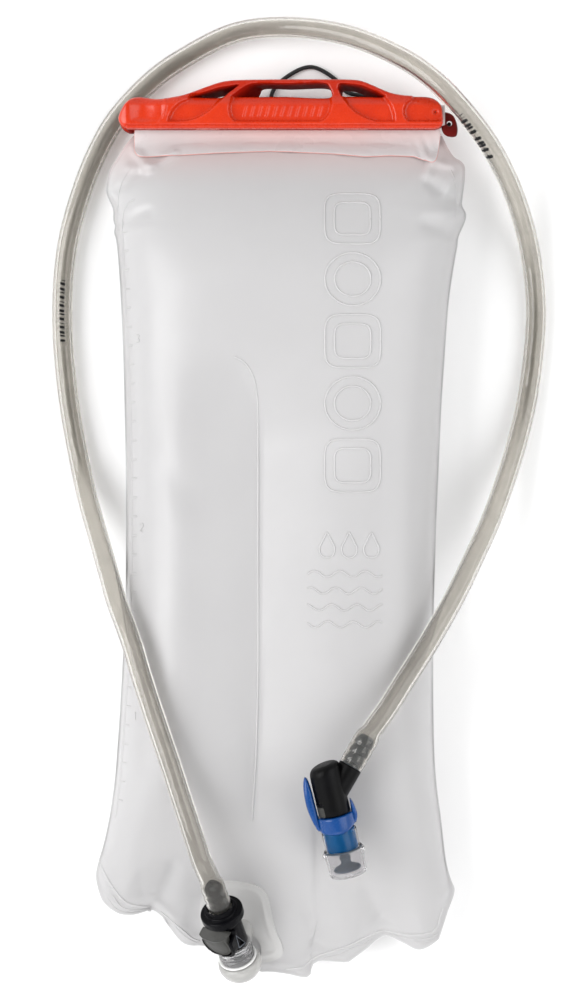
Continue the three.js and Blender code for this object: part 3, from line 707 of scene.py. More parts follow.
def make_shutoff():
    points, faces = turned([
        (5.1, 6.9), (8.2, 6.9), (8.45, 7.6), (8.45, 12.6), (8.1, 13.6), (7.2, 14.2), (5.1, 14)],
        128, 0.4)
    # The collar's lower edge waves round the elbow.
    angle = np.arctan2(points[:, 2], points[:, 0])
    low = smooth_step((points[:, 1] - 10) / 3)
    points[:, 1] += low * (0.75 * np.cos(2 * (angle - 1.25)) + 0.35 * np.cos(3 * angle + 0.6))
    piece("shutoff_collar", points, faces, BLUE, "valve", ["shutoff_valve"], "blue_plastic", 40,
          VALVE)
    long_wing = through([
        (7.1, 12.6), (8.6, 12.6), (10, 9.4), (11, 5.2), (11.6, 0.6), (11.4, -5.6), (10.5, -10.4),
        (9.4, -12.5), (8.6, -11.6), (7.9, -7), (7.7, 0), (7.5, 7.2)], 0.4)
    short_wing = through([
        (-7.1, 12.6), (-8.4, 12.2), (-9.3, 10.4), (-9.75, 8.6), (-9.4, 5.4), (-8.7, 2.6), (-8, 1.5),
        (-7.7, 3.4), (-7.6, 5.4), (-7.4, 8.4)], 0.4)

    def half(x, y):
        tip = smooth_step((y + 13) / 9) * 0.45 + 0.55
        return 3.3 * tip - 0.05 * (np.abs(x) - 9) ** 2

    wings = joined(
        slab(long_wing, lambda x, y: -half(x, y), half, 1.3, (), 0.55),
        slab(short_wing, -2.9, 2.9, 1.1, (), 0.5))
    piece("shutoff_wings", *wings, BLUE, "valve", ["shutoff_valve"], "blue_plastic", 40, VALVE)
    piece("shutoff_spigot", *turned([
        (3.4, 14), (7.2, 14), (7.2, 22.9), (6.9, 23.2), (3.4, 23.2)], 96, 0.25), BLUE_CLEAR,
        "valve", ["shutoff_valve"], "blue_plastic", 40, VALVE)


def make_bite_end():
    piece("core_hourglass", *turned([
        (0, 23.5), (5.8, 23.5), (5.6, 24.3), (4.2, 25.2), (2.7, 26.6), (2.1, 28.2), (2.4, 29.6),
        (4.2, 30.7), (5.9, 31.4), (6.3, 32.6), (5.6, 33), (0, 33)], 64, 0.5), HAZE, "valve",
        ["valve_core"], "slate_plastic", 60, VALVE)
    piece("core_ring", *turned([
        (7.35, 22.95), (8.75, 22.95), (8.75, 23.6), (7.35, 23.6)], 96, 0.15), SLATE, "valve",
        ["valve_core"], "slate_plastic", 50, VALVE)
    cuff = [(7.3, 14.6), (7.8, 14.6), (7.85, 15.2), (7.85, 22.2), (8.3, 22.85), (7.3, 22.9)]
    piece("bite_cuff", *turned(cuff, 96, 0.2), CUFF, "valve", ["bite_valve"], "clear_silicone", 40,
          VALVE)
    bite = [(7.3, 23.7), (8.9, 23.65), (9.5, 24.1), (9.6, 25), (9.2, 25.9), (8.8, 27.4),
            (8.5, 30.5), (8.45, 34), (8, 35), (7.2, 35.4), (0, 35.5), (0, 34.2), (6.9, 34),
            (7.4, 33.2), (7.4, 27), (7.6, 25.4), (7.3, 24.6)]
    points, faces = turned(rounded(bite, 0.4, 3), 96, 0.01, 1)
    # The bite end is pressed a little oval.
    points[:, 2] *= 1 - 0.07 * smooth_step((points[:, 1] - 26) / 6)
    piece("bite_mouth", points, faces, SILICONE, "valve", ["bite_valve"], "clear_silicone", 40,
          VALVE)


make_camera()
make_elbow()
make_shutoff()
make_bite_end()


# ------------------------------------------------------------------ cords
# Where the tube's generic print starts and ends, and which way round the tube it sits.
PRINTS = [((-102.6, 93), (-103.6, 121), 0.05), ((79.5, 193), (93, 174.5), 0.72)]


def tube_material(prints):
    """Clear tube with a faint haze and rows of slanted marks printed on its outside.

    The mesh says how far along the tube a point is, and how far to its side and top.
    """
    clearness = 0.97
    material = clear_material("tube", (0.725, 0.705, 0.665), 0.05, clearness, 1.34, 0.3)
    n = Nodes(material)
    run, side, up = n.attribute("run"), n.attribute("side"), n.attribute("up")
    leaning = n.math("ADD", run, n.times(side, 0.9))
    strokes = n.math("ADD", *[n.math("SINE", n.times(leaning, beat)) for beat in (3.1, 1.85)])
    strokes = n.math("GREATER_THAN", strokes, 0.1)
    zones = None
    for start, end, middle in prints:
        zone = n.times(n.within(run, start, end), n.within(side, middle - 0.24, middle + 0.24))
        zones = zone if zones is None else n.math("ADD", zones, zone)
    mask = n.times(n.times(zones, strokes), n.math("GREATER_THAN", up, 0.2))
    base = n.shader.inputs["Base Color"].links[0].from_socket
    n.surface({"Base Color": n.mix(mask, base, INK),
               "Transmission Weight": n.range(mask, 0, 1, clearness, 0)})
    return material


def make_drink_tube():
    line = through(TUBE_ROUTE, 1.2)
    run = np.linspace(0, length_of(line), len(line))

    def run_near(place):
        return float(run[np.argmin(np.linalg.norm(line[:, :2] - place, axis=1))])

    prints = [(run_near(start), run_near(end), middle) for start, end, middle in PRINTS]
    near = np.minimum(run, run[-1] - run)
    # The barbs stretch the ends: three soft rings, then back to the tube's own size.
    stretch = smooth_step((17.5 - near) / 3.5)
    ripple = 0.12 * np.cos(2 * math.pi * (near - 3.2) / BARB_PITCH) * stretch
    outer = TUBE_D / 2 + 0.72 * stretch + ripple
    bore = TUBE_BORE / 2 + 1.32 * stretch + ripple
    sides = 48
    points, faces = tube_mesh(line, outer, sides, bore)
    tube = piece("drink_tube_clear", points, faces, tube_material(prints), None)
    across = np.cross(np.gradient(line, axis=0), [0, 0, 1])
    across /= np.linalg.norm(across, axis=1)[:, None]
    away = points.reshape(2, len(line), sides, 3) - line[None, :, None]
    away /= np.linalg.norm(away, axis=3)[..., None]
    for name, values in (
            ("run", np.broadcast_to(run[None, :, None], away.shape[:3])),
            ("side", (away * across[None, :, None]).sum(axis=3)), ("up", away[..., 2])):
        tube.data.attributes.new(name, "FLOAT", "POINT").data.foreach_set(
            "value", np.ascontiguousarray(values, np.float32).ravel())
    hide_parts("drink_tube")
    return tube, line


def make_leash():
    line = through(LEASH_ROUTE, 0.8)
    leash = piece("leash_cord", *tube_mesh(line, np.full(len(line), LEASH_D / 2), 14), CORD, None,
                  ["tether_cord"], "black_cord")
    return leash, line


drink_tube, tube_line = make_drink_tube()
leash, leash_line = make_leash()
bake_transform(drink_tube)
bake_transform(leash)

# ------------------------------------------------------------------ bag
# Welded outline of the bag, as four runs that meet at its corners.
LEFT_RUN = [
    (-80.4, -171.4), (-83.9, -167.6), (-85.8, -161.9), (-86.7, -155.7), (-85.6, -149.5),
    (-83.4, -142), (-80.7, -129.9), (-77.9, -111.3), (-76.5, -92.8), (-74.2, -55.7), (-72.9, -20),
    (-72.8, 27.7), (-73.6, 70), (-75.1, 111), (-76.4, 130), (-77.4, 139.1), (-78.4, 142.7),
    (-77.8, 145), (-78.6, 147.6), (-78.8, 153.1), (-80.6, 157.4), (-81.8, 160.7), (-81, 168),
    (-79.5, 172.5), (-76.5, 177), (-73.1, 182.6), (-69.5, 187),
]
RIGHT_RUN = [
    (72.4, -185.5), (76, -174.5), (79.6, -162.4), (77.9, -157.8), (75.7, -150), (73.2, -129.9),
    (70.9, -111.3), (69.9, -92.8), (69.5, -65), (69.9, -27.9), (71.8, 27.7), (74.1, 74),
    (76.9, 111), (79.6, 129.6), (80.8, 136.1), (81.2, 140), (84.3, 147.4), (84.8, 150.8),
    (82.9, 154.9), (83.2, 158.5), (84.2, 167.3), (84, 173.2), (82, 175.6), (79.7, 176.8),
    (77, 180.3), (73.6, 187),
]
LOWER_RUN = [
    (-80.4, -171.4), (-76.2, -173.7), (-72.1, -174.3), (-68.5, -174.1), (-63.8, -172.7),
    (-60.9, -172), (-58.2, -173.5), (-55.1, -176.3), (-52.5, -180.4), (-49.4, -184.6),
    (-46.3, -187.4), (-43.2, -188.5), (-38, -188.5), (-28, -191), (-18, -197), (-10.8, -200.6),
    (-5.6, -200.6), (3, -202), (9.5, -203.5), (12.4, -203), (13.1, -200), (13.6, -197.6),
    (16.5, -195.6), (24, -196), (30.2, -196.4), (33, -194.5), (38.7, -190.1), (43.5, -185.7),
    (46.8, -184), (50, -184.5), (56.2, -187.5), (63, -190.6), (68.1, -188.7), (72.4, -185.5),
]
MOUTH_RUN = [(-69.5, MOUTH_Y), (73.6, MOUTH_Y)]
FRONT_RISE = 31
HALF_WIDTH = 74


def patch(rows, columns):
    """Grid of points inside the bag's outline, closer together near its edges."""
    def eased(count, pull):
        t = np.linspace(0, 1, count)
        return t - pull * np.sin(2 * math.pi * t) / (2 * math.pi)
    u, v = eased(columns, 0.55), eased(rows, 0.35)
    left = by_share(through(LEFT_RUN, 0.8), v)
    right = by_share(through(RIGHT_RUN, 0.8), v)
    low = by_share(through(LOWER_RUN, 0.8), u)
    top = by_share(np.array(MOUTH_RUN, float), u)
    uu, vv = u[None, :, None], v[:, None, None]
    grid = (1 - vv) * low[None] + vv * top[None] + (1 - uu) * left[:, None] + uu * right[:, None]
    corners = (1 - uu) * (1 - vv) * low[0] + uu * (1 - vv) * low[-1]
    corners = corners + (1 - uu) * vv * top[0] + uu * vv * top[-1]
    return grid - corners


def blurred(field, rounds):
    for _ in range(rounds):
        wide = np.pad(field, 1, mode="edge")
        near = wide[:-2, 1:-1], wide[2:, 1:-1], wide[1:-1, :-2], wide[1:-1, 2:]
        field = sum(near, field * 2) / 6
    return field


def valley(x, y):
    """Share of the height pulled down along the baffle's weld: a long bank and a short one."""
    foot = -14 + 2.6 * smooth_step((y + 130) / 60) - 13 * smooth_step((y - 56) / 32)
    across = np.abs(x - foot) / np.where(x < foot, 42, 68)
    across = np.where(across < 1, (1 - np.clip(across, 0, 1)) ** np.where(x < foot, 1.55, 1.5), 0)
    along = smooth_step((92 - y) / 52) * smooth_step((y + 150) / 60)
    return 0.42 * across * along


def outlet_dent(x, y):
    return 0.75 * np.exp(-((x + 22) ** 2) / 968 - (y + 185) ** 2 / 1568)


# Creases of the film: a line, how wide and how high each is.
CREASES = [
    ([(-70, 181), (-64, 174), (-61, 171)], 2.2, 2.1),
    ([(-61, 171), (-54, 175), (-50, 178)], 2.0, 1.8),
    ([(-72, 172), (-66, 170.5), (-60, 171.5)], 2.4, 1.6),
    ([(-80, 160), (-72, 163), (-66, 168)], 3.0, -1.6),
    ([(-77, 144), (-70, 147), (-62, 150)], 2.6, -1.4),
    ([(83, 174), (76, 173), (69, 174.5)], 2.2, 2.2),
    ([(72, 181), (69, 175), (66, 168)], 2.2, 2.0),
    ([(83, 156), (75, 158), (68, 163)], 3.0, -1.9),
    ([(83, 169), (78, 165), (74, 158)], 2.2, 1.5),
    ([(81, 139), (74, 142), (66, 144)], 3.2, -1.6),
    ([(-73, 53), (-66, 44), (-54, 33), (-42, 22)], 8.0, -1.0),
    ([(-60, -171), (-56, -164), (-50, -150)], 3.4, -1.3),
    ([(46, -183), (44, -174), (38, -160)], 3.4, -1.4),
    ([(14, -196), (13, -186), (9, -172)], 3.2, -1.2),
    ([(-46, -186), (-42, -176), (-40, -165)], 3.0, -0.9),
]


def bag_shape():
    """The bag's front and back heights on its grid."""
    grid = patch(230, 104)
    x, y = grid[..., 0], grid[..., 1]
    flat = grid.reshape(-1, 2)
    rim = [through(run, 1.5) for run in (LEFT_RUN, RIGHT_RUN, LOWER_RUN)]
    edge = distance_to(rim, flat, closed=False).reshape(x.shape)
    low_edge = distance_to(rim[2:], flat, closed=False).reshape(x.shape)
    corner = smooth_step((-150 - y) / 22)
    weld = 1.3 + 4.6 * corner
    # The two films lie flat on each other along the very edge of the weld.
    inner = blurred(np.maximum(edge - weld, 0), 4) * smooth_step((edge - 0.7) / 1.5)
    side = np.sqrt(1 - (1 - np.clip(inner / HALF_WIDTH, 0, 1)) ** 4)
    mouth = np.sin(np.clip((MOUTH_Y - y) / 70, 0, 1) * math.pi / 2)
    foot = np.sin(np.clip(blurred(np.maximum(low_edge - weld, 0), 6) / 80, 0, 1) * math.pi / 2)
    foot = foot ** 0.8
    rise = FRONT_RISE * side * mouth * foot * (1 - valley(x, y)) * (1 - outlet_dent(x, y))
    for line, wide, high in CREASES:
        away = distance_to([through(line, 1.0)], flat, closed=False).reshape(x.shape)
        rise = rise + high * np.exp(-((away / wide) ** 2)) * smooth_step(inner / 4)
    # The welded border droops a little and waves where nothing holds it.
    droop = -3.5 * smooth_step((5 - edge) / 5) * corner
    wave = 0.8 * np.sin(x * 0.23 + y * 0.11)
    wave *= smooth_step((6 - edge) / 6) * smooth_step((150 - y) / 40)
    seam = SEAM_Z + droop + wave
    # The back bulges down to just above the ground. In the weld the films touch: the front is as
    # thick below its surface as the back is above its own.
    curve = np.sqrt(1 - (1 - np.clip(inner / 26, 0, 1)) ** 2)
    closing = np.sqrt(1 - (1 - np.clip((MOUTH_Y - y) / 6, 0, 1)) ** 2)
    back = seam - 0.41 - (seam - 0.71) * curve * closing
    return grid, seam + 0.5 + rise, back


def make_bag():
    """Both films, and a tree of the front one for what lies on it."""
    grid, front, back = bag_shape()
    faces = grid_faces(*front.shape)
    top, under = [np.dstack([grid, level]).reshape(-1, 3) for level in (front, back)]
    piece("bag_front", *shell(top, faces, FILM_THICK), FILM, "reservoir", ["front_panel"], "film",
          60)
    piece("bag_back", *shell(under, [f[::-1] for f in faces], FILM_THICK), FILM, "reservoir",
          ["back_panel"], "film", 60)
    return BVHTree.FromPolygons([Vector(p) for p in top], faces)


film_tree = make_bag()


def film_height(x, y):
    hit = film_tree.ray_cast(Vector((x, y, 200)), Vector((0, 0, -1)))[0]
    return hit.z if hit else SEAM_Z


# ------------------------------------------------------------------ outlet and quick connect
PAD_EDGE = [
    (-36.5, -187), (-38, -180), (-38.2, -168), (-35, -160.2), (-27.5, -156.7), (-17, -157.2),
    (-11.4, -158.6), (-7.6, -162.6), (-6.2, -168), (-4.9, -174.6), (-2.8, -181.6), (-0.4, -187.4),
    (-0.2, -191.6), (-3.4, -194.4), (-10, -195.6), (-20, -194.6), (-30, -190.4),
]


def make_port_plate():
    """Clear pad on the front film, with a soft ridge round its inner field."""
    edge = smooth_loop(PAD_EDGE, 0.9)
    hole = circle(OUTLET[0] + 1.5, OUTLET[1] + 3, 8.6, 40)
    flat, faces = triangulated(edge, 1.1, [hole])
    rest = np.array([film_height(x, y) for x, y in flat])
    rim = distance_to([edge], flat)
    ridge = 0.28 * np.exp(-(((rim - 3.2) / 0.6) ** 2))
    high = rest + 0.6 + ridge + 0.15 * smooth_step((rim - 1) / 2)
    piece("port_plate_pad", *shell(np.column_stack([flat, high]), faces, 0.7), PAD_FILM,
          "reservoir", ["port_plate"], "clear_tpu", 60)


def make_port():
    """Clear outlet: a round foot on the bag and a ribbed spout."""
    spout = [(5.1, 4), (5.1, 11.2), (7.4, 11.3), (7.7, 10.8)]
    for rib in (9.4, 7.2, 5.0):
        spout += [(7.6, rib + 0.9), (8.15, rib + 0.5), (8.15, rib), (7.6, rib - 0.4)]
    spout += [(7.7, 3.4), (7.7, 0.2), (5.6, 0), (5.1, 0.6)]
    flange = [(7.8, 2.0), (8.7, 2.0), (8.95, 2.5), (8.7, 3.0), (7.8, 3.0)]
    radius = 10.1
    dome = [(0, -1.2 - radius * 0.92)]
    for a in np.linspace(math.pi / 2, 0, 14)[1:]:
        dome.append((radius * math.cos(a), -1.2 - radius * math.sin(a) * 0.92))
    dome += [(9.7, 0.6), (8.9, 1.3), (0, 1.4)]
    # The flange's white ring is a painted highlight on its clear edge.
    for name, profile, corner, material in (
            ("port_spout", spout, 0.3, CLEAR), ("port_flange", flange, 0.2, CLEAR_PAINTED_HIGHLIGHT),
            ("port_dome", dome, 0.2, MILKY)):
        piece(name, *turned(profile, 96, corner), material, "reservoir", ["port_fitting"],
              "clear_tpu", 40, OUTLET_FRAME)
    neck = np.array([OUTLET + (NECK_END - OUTLET) * t for t in np.linspace(0.1, 1, 12)])
    piece("port_neck", *tube_mesh(neck, np.full(12, 4.4), 40), MILKY, "reservoir", ["port_fitting"],
          "clear_tpu", 40)
    seal("port_seal", 4.4, 8, "reservoir", "port_oring", OUTLET_FRAME, thick=0.45)


# The button's own plane: across it, along the connector, and out of it.
FACING = OUTLET_FRAME @ np.array([[0, 0, 1, 0], [0, 1, 0, 0], [-1, 0, 0, 0], [0, 0, 0, 1]], float)


# Height of the floor under the release button.
ROOM_FLOOR = 5.6


def make_socket():
    round_part = turned([
        (1.4, 4.3), (5, 4.3), (5, 7.2), (3.7, 7.2), (3.7, 8.8), (5, 8.8), (5, 11.6),
        (6.6, 11.6), (7.2, 12.3), (7.2, 25.4), (6.6, 26.2), (4.9, 26.2), (4.9, 14), (2, 14),
        (2, 13.4), (3, 13.4), (3, 5), (1.4, 5)], 96, 0.2)
    socket = piece("socket_shell", *round_part, BLACK, "reservoir", ["socket_body"],
                   "black_plastic", 34, OUTLET_FRAME)
    frame_edge = rounded([
        (-8.2, 16.6), (-7, 13.8), (-4.6, 12.2), (-1, 11.7), (3, 11.8), (5.6, 12.7), (7.4, 15.6),
        (7.6, 20), (7.4, 25.6), (-8, 25), (-8.3, 20)], 1.2, 4, ring=True)
    room = rounded([
        (-7.45, 16.8), (-6.6, 14.8), (-4.6, 13.2), (-1.6, 12.5), (1.4, 12.5), (3.4, 13.1),
        (5.4, 14.7), (6.15, 17), (6.2, 27), (-7.55, 27)], 0.8, 4, ring=True)

    def rim(x, y):
        # The frame swells towards the button's top, and steps down to clear the plug's collar.
        swell = 9.3 + 1.2 * smooth_step((y - 12.6) / 10)
        level = swell - (swell - ROOM_FLOOR) * smooth_step((y - 21.2) / 2.6)
        return level - np.where(x > 6.2, 0.4 * (x - 6.2), 0)

    housing = slab(frame_edge, 3.0, rim, 0.45, (), 0.7)
    combine(socket, *housing, "UNION", FACING, 34)
    combine(socket, *turned([(0, 14), (4.9, 14), (4.9, 28), (0, 28)], 64, 0.01), "DIFFERENCE",
            OUTLET_FRAME, 34)
    combine(socket, *extruded(room, ROOM_FLOOR, 12), "DIFFERENCE", FACING, 34)
    # Three-cornered recess in the side of the socket, with a thin trim in it; the trim's lighter
    # grey is a painted highlight along the recess's edge.
    notch = rounded([(0.4, 13.6), (4.9, 22.4), (5.4, 15.4)], 0.5, 3, ring=True)
    combine(socket, *extruded(notch, -9, -6.4), "DIFFERENCE", OUTLET_FRAME, 34)
    outer = rounded([(0.1, 13.2), (5.0, 23.3), (5.8, 15.2)], 0.6, 4, ring=True)
    inner = rounded([(0.6, 13.9), (4.8, 22.1), (5.2, 15.6)], 0.5, 4, ring=True)
    piece("socket_cheek_highlight_trim", *slab(outer, -7.75, -7.25, 0.12, [inner[::-1]], 0.5, 0.2), SLATE,
          "reservoir", ["socket_body"], "black_plastic", 40, OUTLET_FRAME)


def make_button():
    edge = through([
        (-7, 27.6), (-7.9, 26.2), (-8.3, 25.2), (-7.8, 24.7), (-7.3, 24), (-7.2, 21.5),
        (-7.1, 18.4), (-6.3, 16), (-4.6, 14.2), (-2, 13.2), (0.4, 13), (3, 13.6), (5, 15.4),
        (5.75, 18), (5.8, 20.6), (5.5, 22.6), (6, 24.8), (7.1, 26.4), (8, 27.6)], 0.45)

    def face(x, y):
        # A shelf slopes back from a curved ridge; the shield below it swells slightly.
        across = -x
        ridge = 23.8 + np.where(across > 1, 0.026, 0.05) * (across - 1) ** 2
        shield = 9.6 + 1.75 * smooth_step((y - 12.6) / 12) - np.where(x < 0, 0.012, 0.04) * x * x
        shelf = shield - 1.05 * np.maximum(y - ridge, 0)
        lip = 0.25 * np.exp(-(((y - ridge + 0.35) / 0.4) ** 2))
        rim = distance_to([edge], np.column_stack([x, y]))
        border = -0.3 * np.exp(-(((rim - 1.0) / 0.3) ** 2)) * smooth_step((ridge - 1 - y) / 1.5)
        dots = sum(0.3 * np.exp(-(((x - middle) ** 2 + (y - 25.2) ** 2) / 0.07))
                   for middle in (-1.4, 0.3, 2.0))
        return np.maximum(shelf + lip + border + dots, 7.7)

    piece("button_pad", *slab(edge, 7.2, face, 0.3, (), 0.32), GREY, "button", ["release_button"],
          "grey_plastic", 34, FACING)


def make_quick_connect():
    plug = [
        (1.2, 14.5), (4.1, 14.5), (4.5, 15), (4.5, 17.3), (3.6, 17.3), (3.6, 18.9), (4.5, 18.9),
        (4.5, 27.8), (7.4, 27.9), (7.4, 28.1), (9.3, 28.1), (9.85, 28.7), (9.85, 31.9), (9.4, 32.4),
        (7.7, 32.4), (7.6, 33.0), (7.2, 33.4), (6.5, 33.4), (6.4, 35.3), (5.85, 35.4), (5.8, 33.9),
        (4.8, 33.8), (3.4, 33.9),
    ]
    tail = [(3.2, 34), *barb(34, 3.2)[1:], (1.2, 49.6)]
    piece("plug_collar", *turned([*plug, *tail], 96, 0.22), BLACK, "plug", ["tube_plug"],
          "black_plastic", 34, OUTLET_FRAME)
    seal("plug_seal", 4.3, 18.1, "plug", "plug_oring", OUTLET_FRAME)
    piece("poppet_pin", *turned([
        (0, 7.2), (1, 7.2), (1, 8.5), (2.6, 8.5), (2.6, 9.8), (1, 9.8), (1, 12.6), (1.6, 13),
        (1.6, 14.2), (0, 14.2)], 40, 0.15), WHITE, "poppet", ["check_poppet"], "white_plastic", 40,
        OUTLET_FRAME)
    seal("poppet_ring", 1.85, 10.35, "poppet", "poppet_seal", OUTLET_FRAME, 40)


make_port_plate()
make_port()
make_socket()
make_button()
make_quick_connect()


# ------------------------------------------------------------------ welds, scale and mark
def welt(line, width, height, sink=0.5):
    """Rounded ridge that lies on the film along a line."""
    line = np.array(line, float)
    along = np.gradient(line, axis=0)
    along /= np.maximum(np.linalg.norm(along, axis=1), 1e-9)[:, None]
    side = np.column_stack([-along[:, 1], along[:, 0]])
    shares = [(-1, 0), (-0.75, 0.5), (-0.35, 0.9), (0, 1), (0.35, 0.9), (0.75, 0.5), (1, 0)]
    ends = np.minimum(np.arange(len(line)), np.arange(len(line))[::-1])
    fade = np.clip((ends + 0.6) / 1.6, 0, 1)
    points = []
    for place, normal, share in zip(line, side, fade):
        row = []
        for across, rise in shares:
            x, y = place + normal * across * width / 2
            under = 0 if rise else 0.05
            row.append((x, y, film_height(x, y) + height * rise * share - under))
        low = film_height(*place) - sink
        x, y = place - normal * width / 2
        u, v = place + normal * width / 2
        points += row + [(u, v, low), (x, y, low)]
    count = len(shares) + 2
    faces = grid_faces(len(line), count, around=True) + end_caps(len(line), count)
    return np.array(points), faces


WELDS = [
    ([(-22, 83), (-17.6, 80.5), (-13.8, 75), (-11.8, 66), (-11.4, 40), (-11.4, 0), (-11.4, -60),
      (-12.3, -98), (-14, -127)], 1.1, 0.4),
    ([(-85, -149.5), (-82.7, -153.6), (-79.3, -159.8), (-76.2, -164.4), (-72.6, -168.1),
      (-68.5, -169.6), (-61.3, -170.9)], 1.5, 0.55),
    ([(-79.1, -164.4), (-74.7, -170.2), (-68.5, -172.0), (-61.3, -171.9)], 0.8, 0.4),
    ([(-81.7, -165.7), (-77.3, -171.3), (-71.1, -173.3), (-64, -172.4)], 0.6, 0.3),
    ([(-57, -173), (-52, -176.8), (-46.3, -181), (-42.1, -184.6), (-38.5, -186.4)], 1.0, 0.5),
    ([(-50.4, -179.4), (-45.2, -184.1), (-40, -187.2)], 0.6, 0.3),
    ([(74.4, -170.6), (73, -175), (71.8, -179), (69.4, -181.6), (66, -182.6), (59.3, -183.1),
      (52, -182.6), (45.8, -181.6), (38, -184.4), (30.2, -188.1), (15.9, -193.3), (9.4, -197.9),
      (0.9, -199.5)], 1.3, 0.55),
    ([(72.1, -182.6), (65.3, -184.9), (58.2, -184.9), (50.9, -183.9)], 0.7, 0.35),
    ([(71.6, -184.2), (66.6, -186.5), (60.8, -186.5)], 0.6, 0.3),
    ([(41.2, -185.6), (33, -189), (26.3, -192), (18.5, -194.6)], 0.7, 0.35),
    ([(-70, 171), (-74, 165), (-76, 157), (-75.6, 148)], 0.7, 0.3),
    ([(77, 171), (79.6, 164), (80, 156), (79.4, 148)], 0.7, 0.3),
]
SCALE_LINE = [(-68, 156), (-71.4, 154), (-73.6, 149), (-73.2, 130), (-72.4, 109.5), (-70.4, 74),
              (-69.4, 28), (-69.6, -20), (-71, -56), (-73.4, -93), (-74.9, -111), (-77.2, -128)]
# Strokes of the scale's figures, each in a box one wide and two high.
STROKES = {
    "1": [(0.2, 1.6), (0.6, 2), (0.6, 0)],
    "2": [(0, 1.6), (0.2, 1.95), (0.8, 1.95), (1, 1.5), (0.7, 1), (0, 0), (1, 0)],
    "3": [(0, 1.9), (0.8, 1.95), (1, 1.5), (0.5, 1.05), (1, 0.6), (0.8, 0.05), (0, 0.1)],
}


def make_welds():
    parts = [welt(through(line, 0.9), width, height) for line, width, height in WELDS]
    parts.append(welt(through(SCALE_LINE, 1.4), 0.8, 0.42))
    scale = through(SCALE_LINE, 8.6)
    for x, y in scale[2:-1]:
        parts.append(welt(evenly([(x, y), (x + 2.6, y + 0.1)], 0.5), 0.8, 0.6))
    for figure, y in (("3", 92), ("2", 6), ("1", -80)):
        x = np.interp(-y, [-q for _, q in SCALE_LINE], [p for p, _ in SCALE_LINE]) + 4.2
        line = [(x + 1.8 * a, y + 1.8 * b - 1.8) for a, b in STROKES[figure]]
        parts.append(welt(evenly(line, 0.4), 0.5, 0.4))
    piece("weld_lines", *joined(*parts), FILM, "reservoir", (), "film", 60)


def make_mark():
    """Raised generic pattern: outlined rings and soft squares in a column, then drops and waves."""
    parts = []
    turn = np.linspace(0, 2 * math.pi, 60)
    for k in range(5):
        x, y = 31.5, 146 - k * 28
        power = 1.0 if k % 2 else 0.45
        for size in (12.6, 8.2):
            ring = np.column_stack([
                x + size * np.sign(np.cos(turn)) * np.abs(np.cos(turn)) ** power,
                y + 0.95 * size * np.sign(np.sin(turn)) * np.abs(np.sin(turn)) ** power])
            parts.append(welt(evenly(ring, 0.8), 1.0, 0.5))
    left_side = [(0, 8), (-2.2, 3.6), (-3.5, 0.4), (-2.6, -2.6), (0, -3.7)]
    drop = left_side + [(-a, b) for a, b in left_side[-2::-1]]
    for x in (20, 30, 40):
        line = through([(x + a, -4 + b) for a, b in drop], 0.5)
        parts.append(welt(evenly(line, 0.7), 0.95, 0.48))
    for row in range(4):
        xs = np.linspace(11, 45, 44)
        line = np.column_stack([xs, -15 - row * 7.6 + 1.4 * np.sin(xs * 0.55 + row)])
        parts.append(welt(line, 0.95, 0.48))
    piece("raised_mark", *joined(*parts), FILM, "reservoir", (), "film", 60)


make_welds()
make_mark()

# ------------------------------------------------------------------ slide closure
# Heights of its sunk panels, ribs and rim, and of its back in three places.
FACE = 31.1
RAISED = 33.4
HANDLE_BACK = 13.0
BODY_BACK = 17.6
GRIP_BACK = 15.0
WALL_TOP = 29.2

SLIDER_EDGE = [
    (-71.5, 189), (-73.8, 190.3), (-75.2, 192), (-75.6, 194), (-74.3, 197.6), (-72.2, 200.8),
    (-69.7, 203), (-66.5, 203.9), (-62.7, 203.5), (-59.2, 202.9), (-55.3, 202.9), (-51.2, 203.6),
    (-45.9, 204.7), (-41, 206.3), (-34.8, 208.6), (-28.7, 210.6), (-24.6, 211.3), (-19.5, 211.6),
    (-8, 211.8), (5, 211.9), (20, 211.9), (30, 211.8), (35.5, 211.3), (41, 209.3), (45.5, 207.3),
    (49.6, 205.7), (54, 204.8), (60, 204.3), (66, 204.1), (69, 203.4), (71.6, 201.5), (73.1, 198.8),
    (73.5, 195.5), (73.5, 192), (72.6, 190), (70.2, 189),
]
# Windows of the handle, in front and behind. The strut left of the middle one slants back.
WINDOWS = [
    ([(-43, 203.9), (-27.4, 203.9), (-24.9, 205.7), (-22.3, 207.6), (-20.3, 209.4), (-24.5, 208.9),
      (-28.8, 208.2), (-34.6, 206.5), (-40, 204.7)],
     [(-42, 203.9), (-27.4, 203.9), (-25.9, 204.9), (-24.9, 205.9), (-24.2, 207.4), (-26, 207.2),
      (-29, 206.6), (-34, 205.2), (-39, 204.2)]),
    ([(-24.2, 203.9), (0, 204.1), (22.6, 204.1), (22.3, 206.2), (21.4, 208.2), (20.2, 209.8),
      (2, 210), (-14.6, 209.8), (-17.6, 208.6), (-21.2, 206.2)],
     [(-12.4, 203.9), (4, 204.1), (22.9, 204.1), (22.9, 206.2), (22.7, 208.2), (22, 209.8),
      (4, 210), (-9.6, 209.8), (-10.6, 207.9), (-11.6, 206)]),
    ([(26.9, 204.1), (36, 204.1), (47.2, 204.1), (44.8, 205.4), (40.6, 207.3), (36, 209.1),
      (31.5, 209.7), (26, 209.8), (25.3, 208), (26, 206)],
     [(28, 204.1), (36, 204.1), (44, 204.1), (42.6, 205), (39.4, 206.6), (36, 208.2),
      (31.5, 209.2), (28.4, 209.3), (27.8, 208), (27.8, 206)]),
]
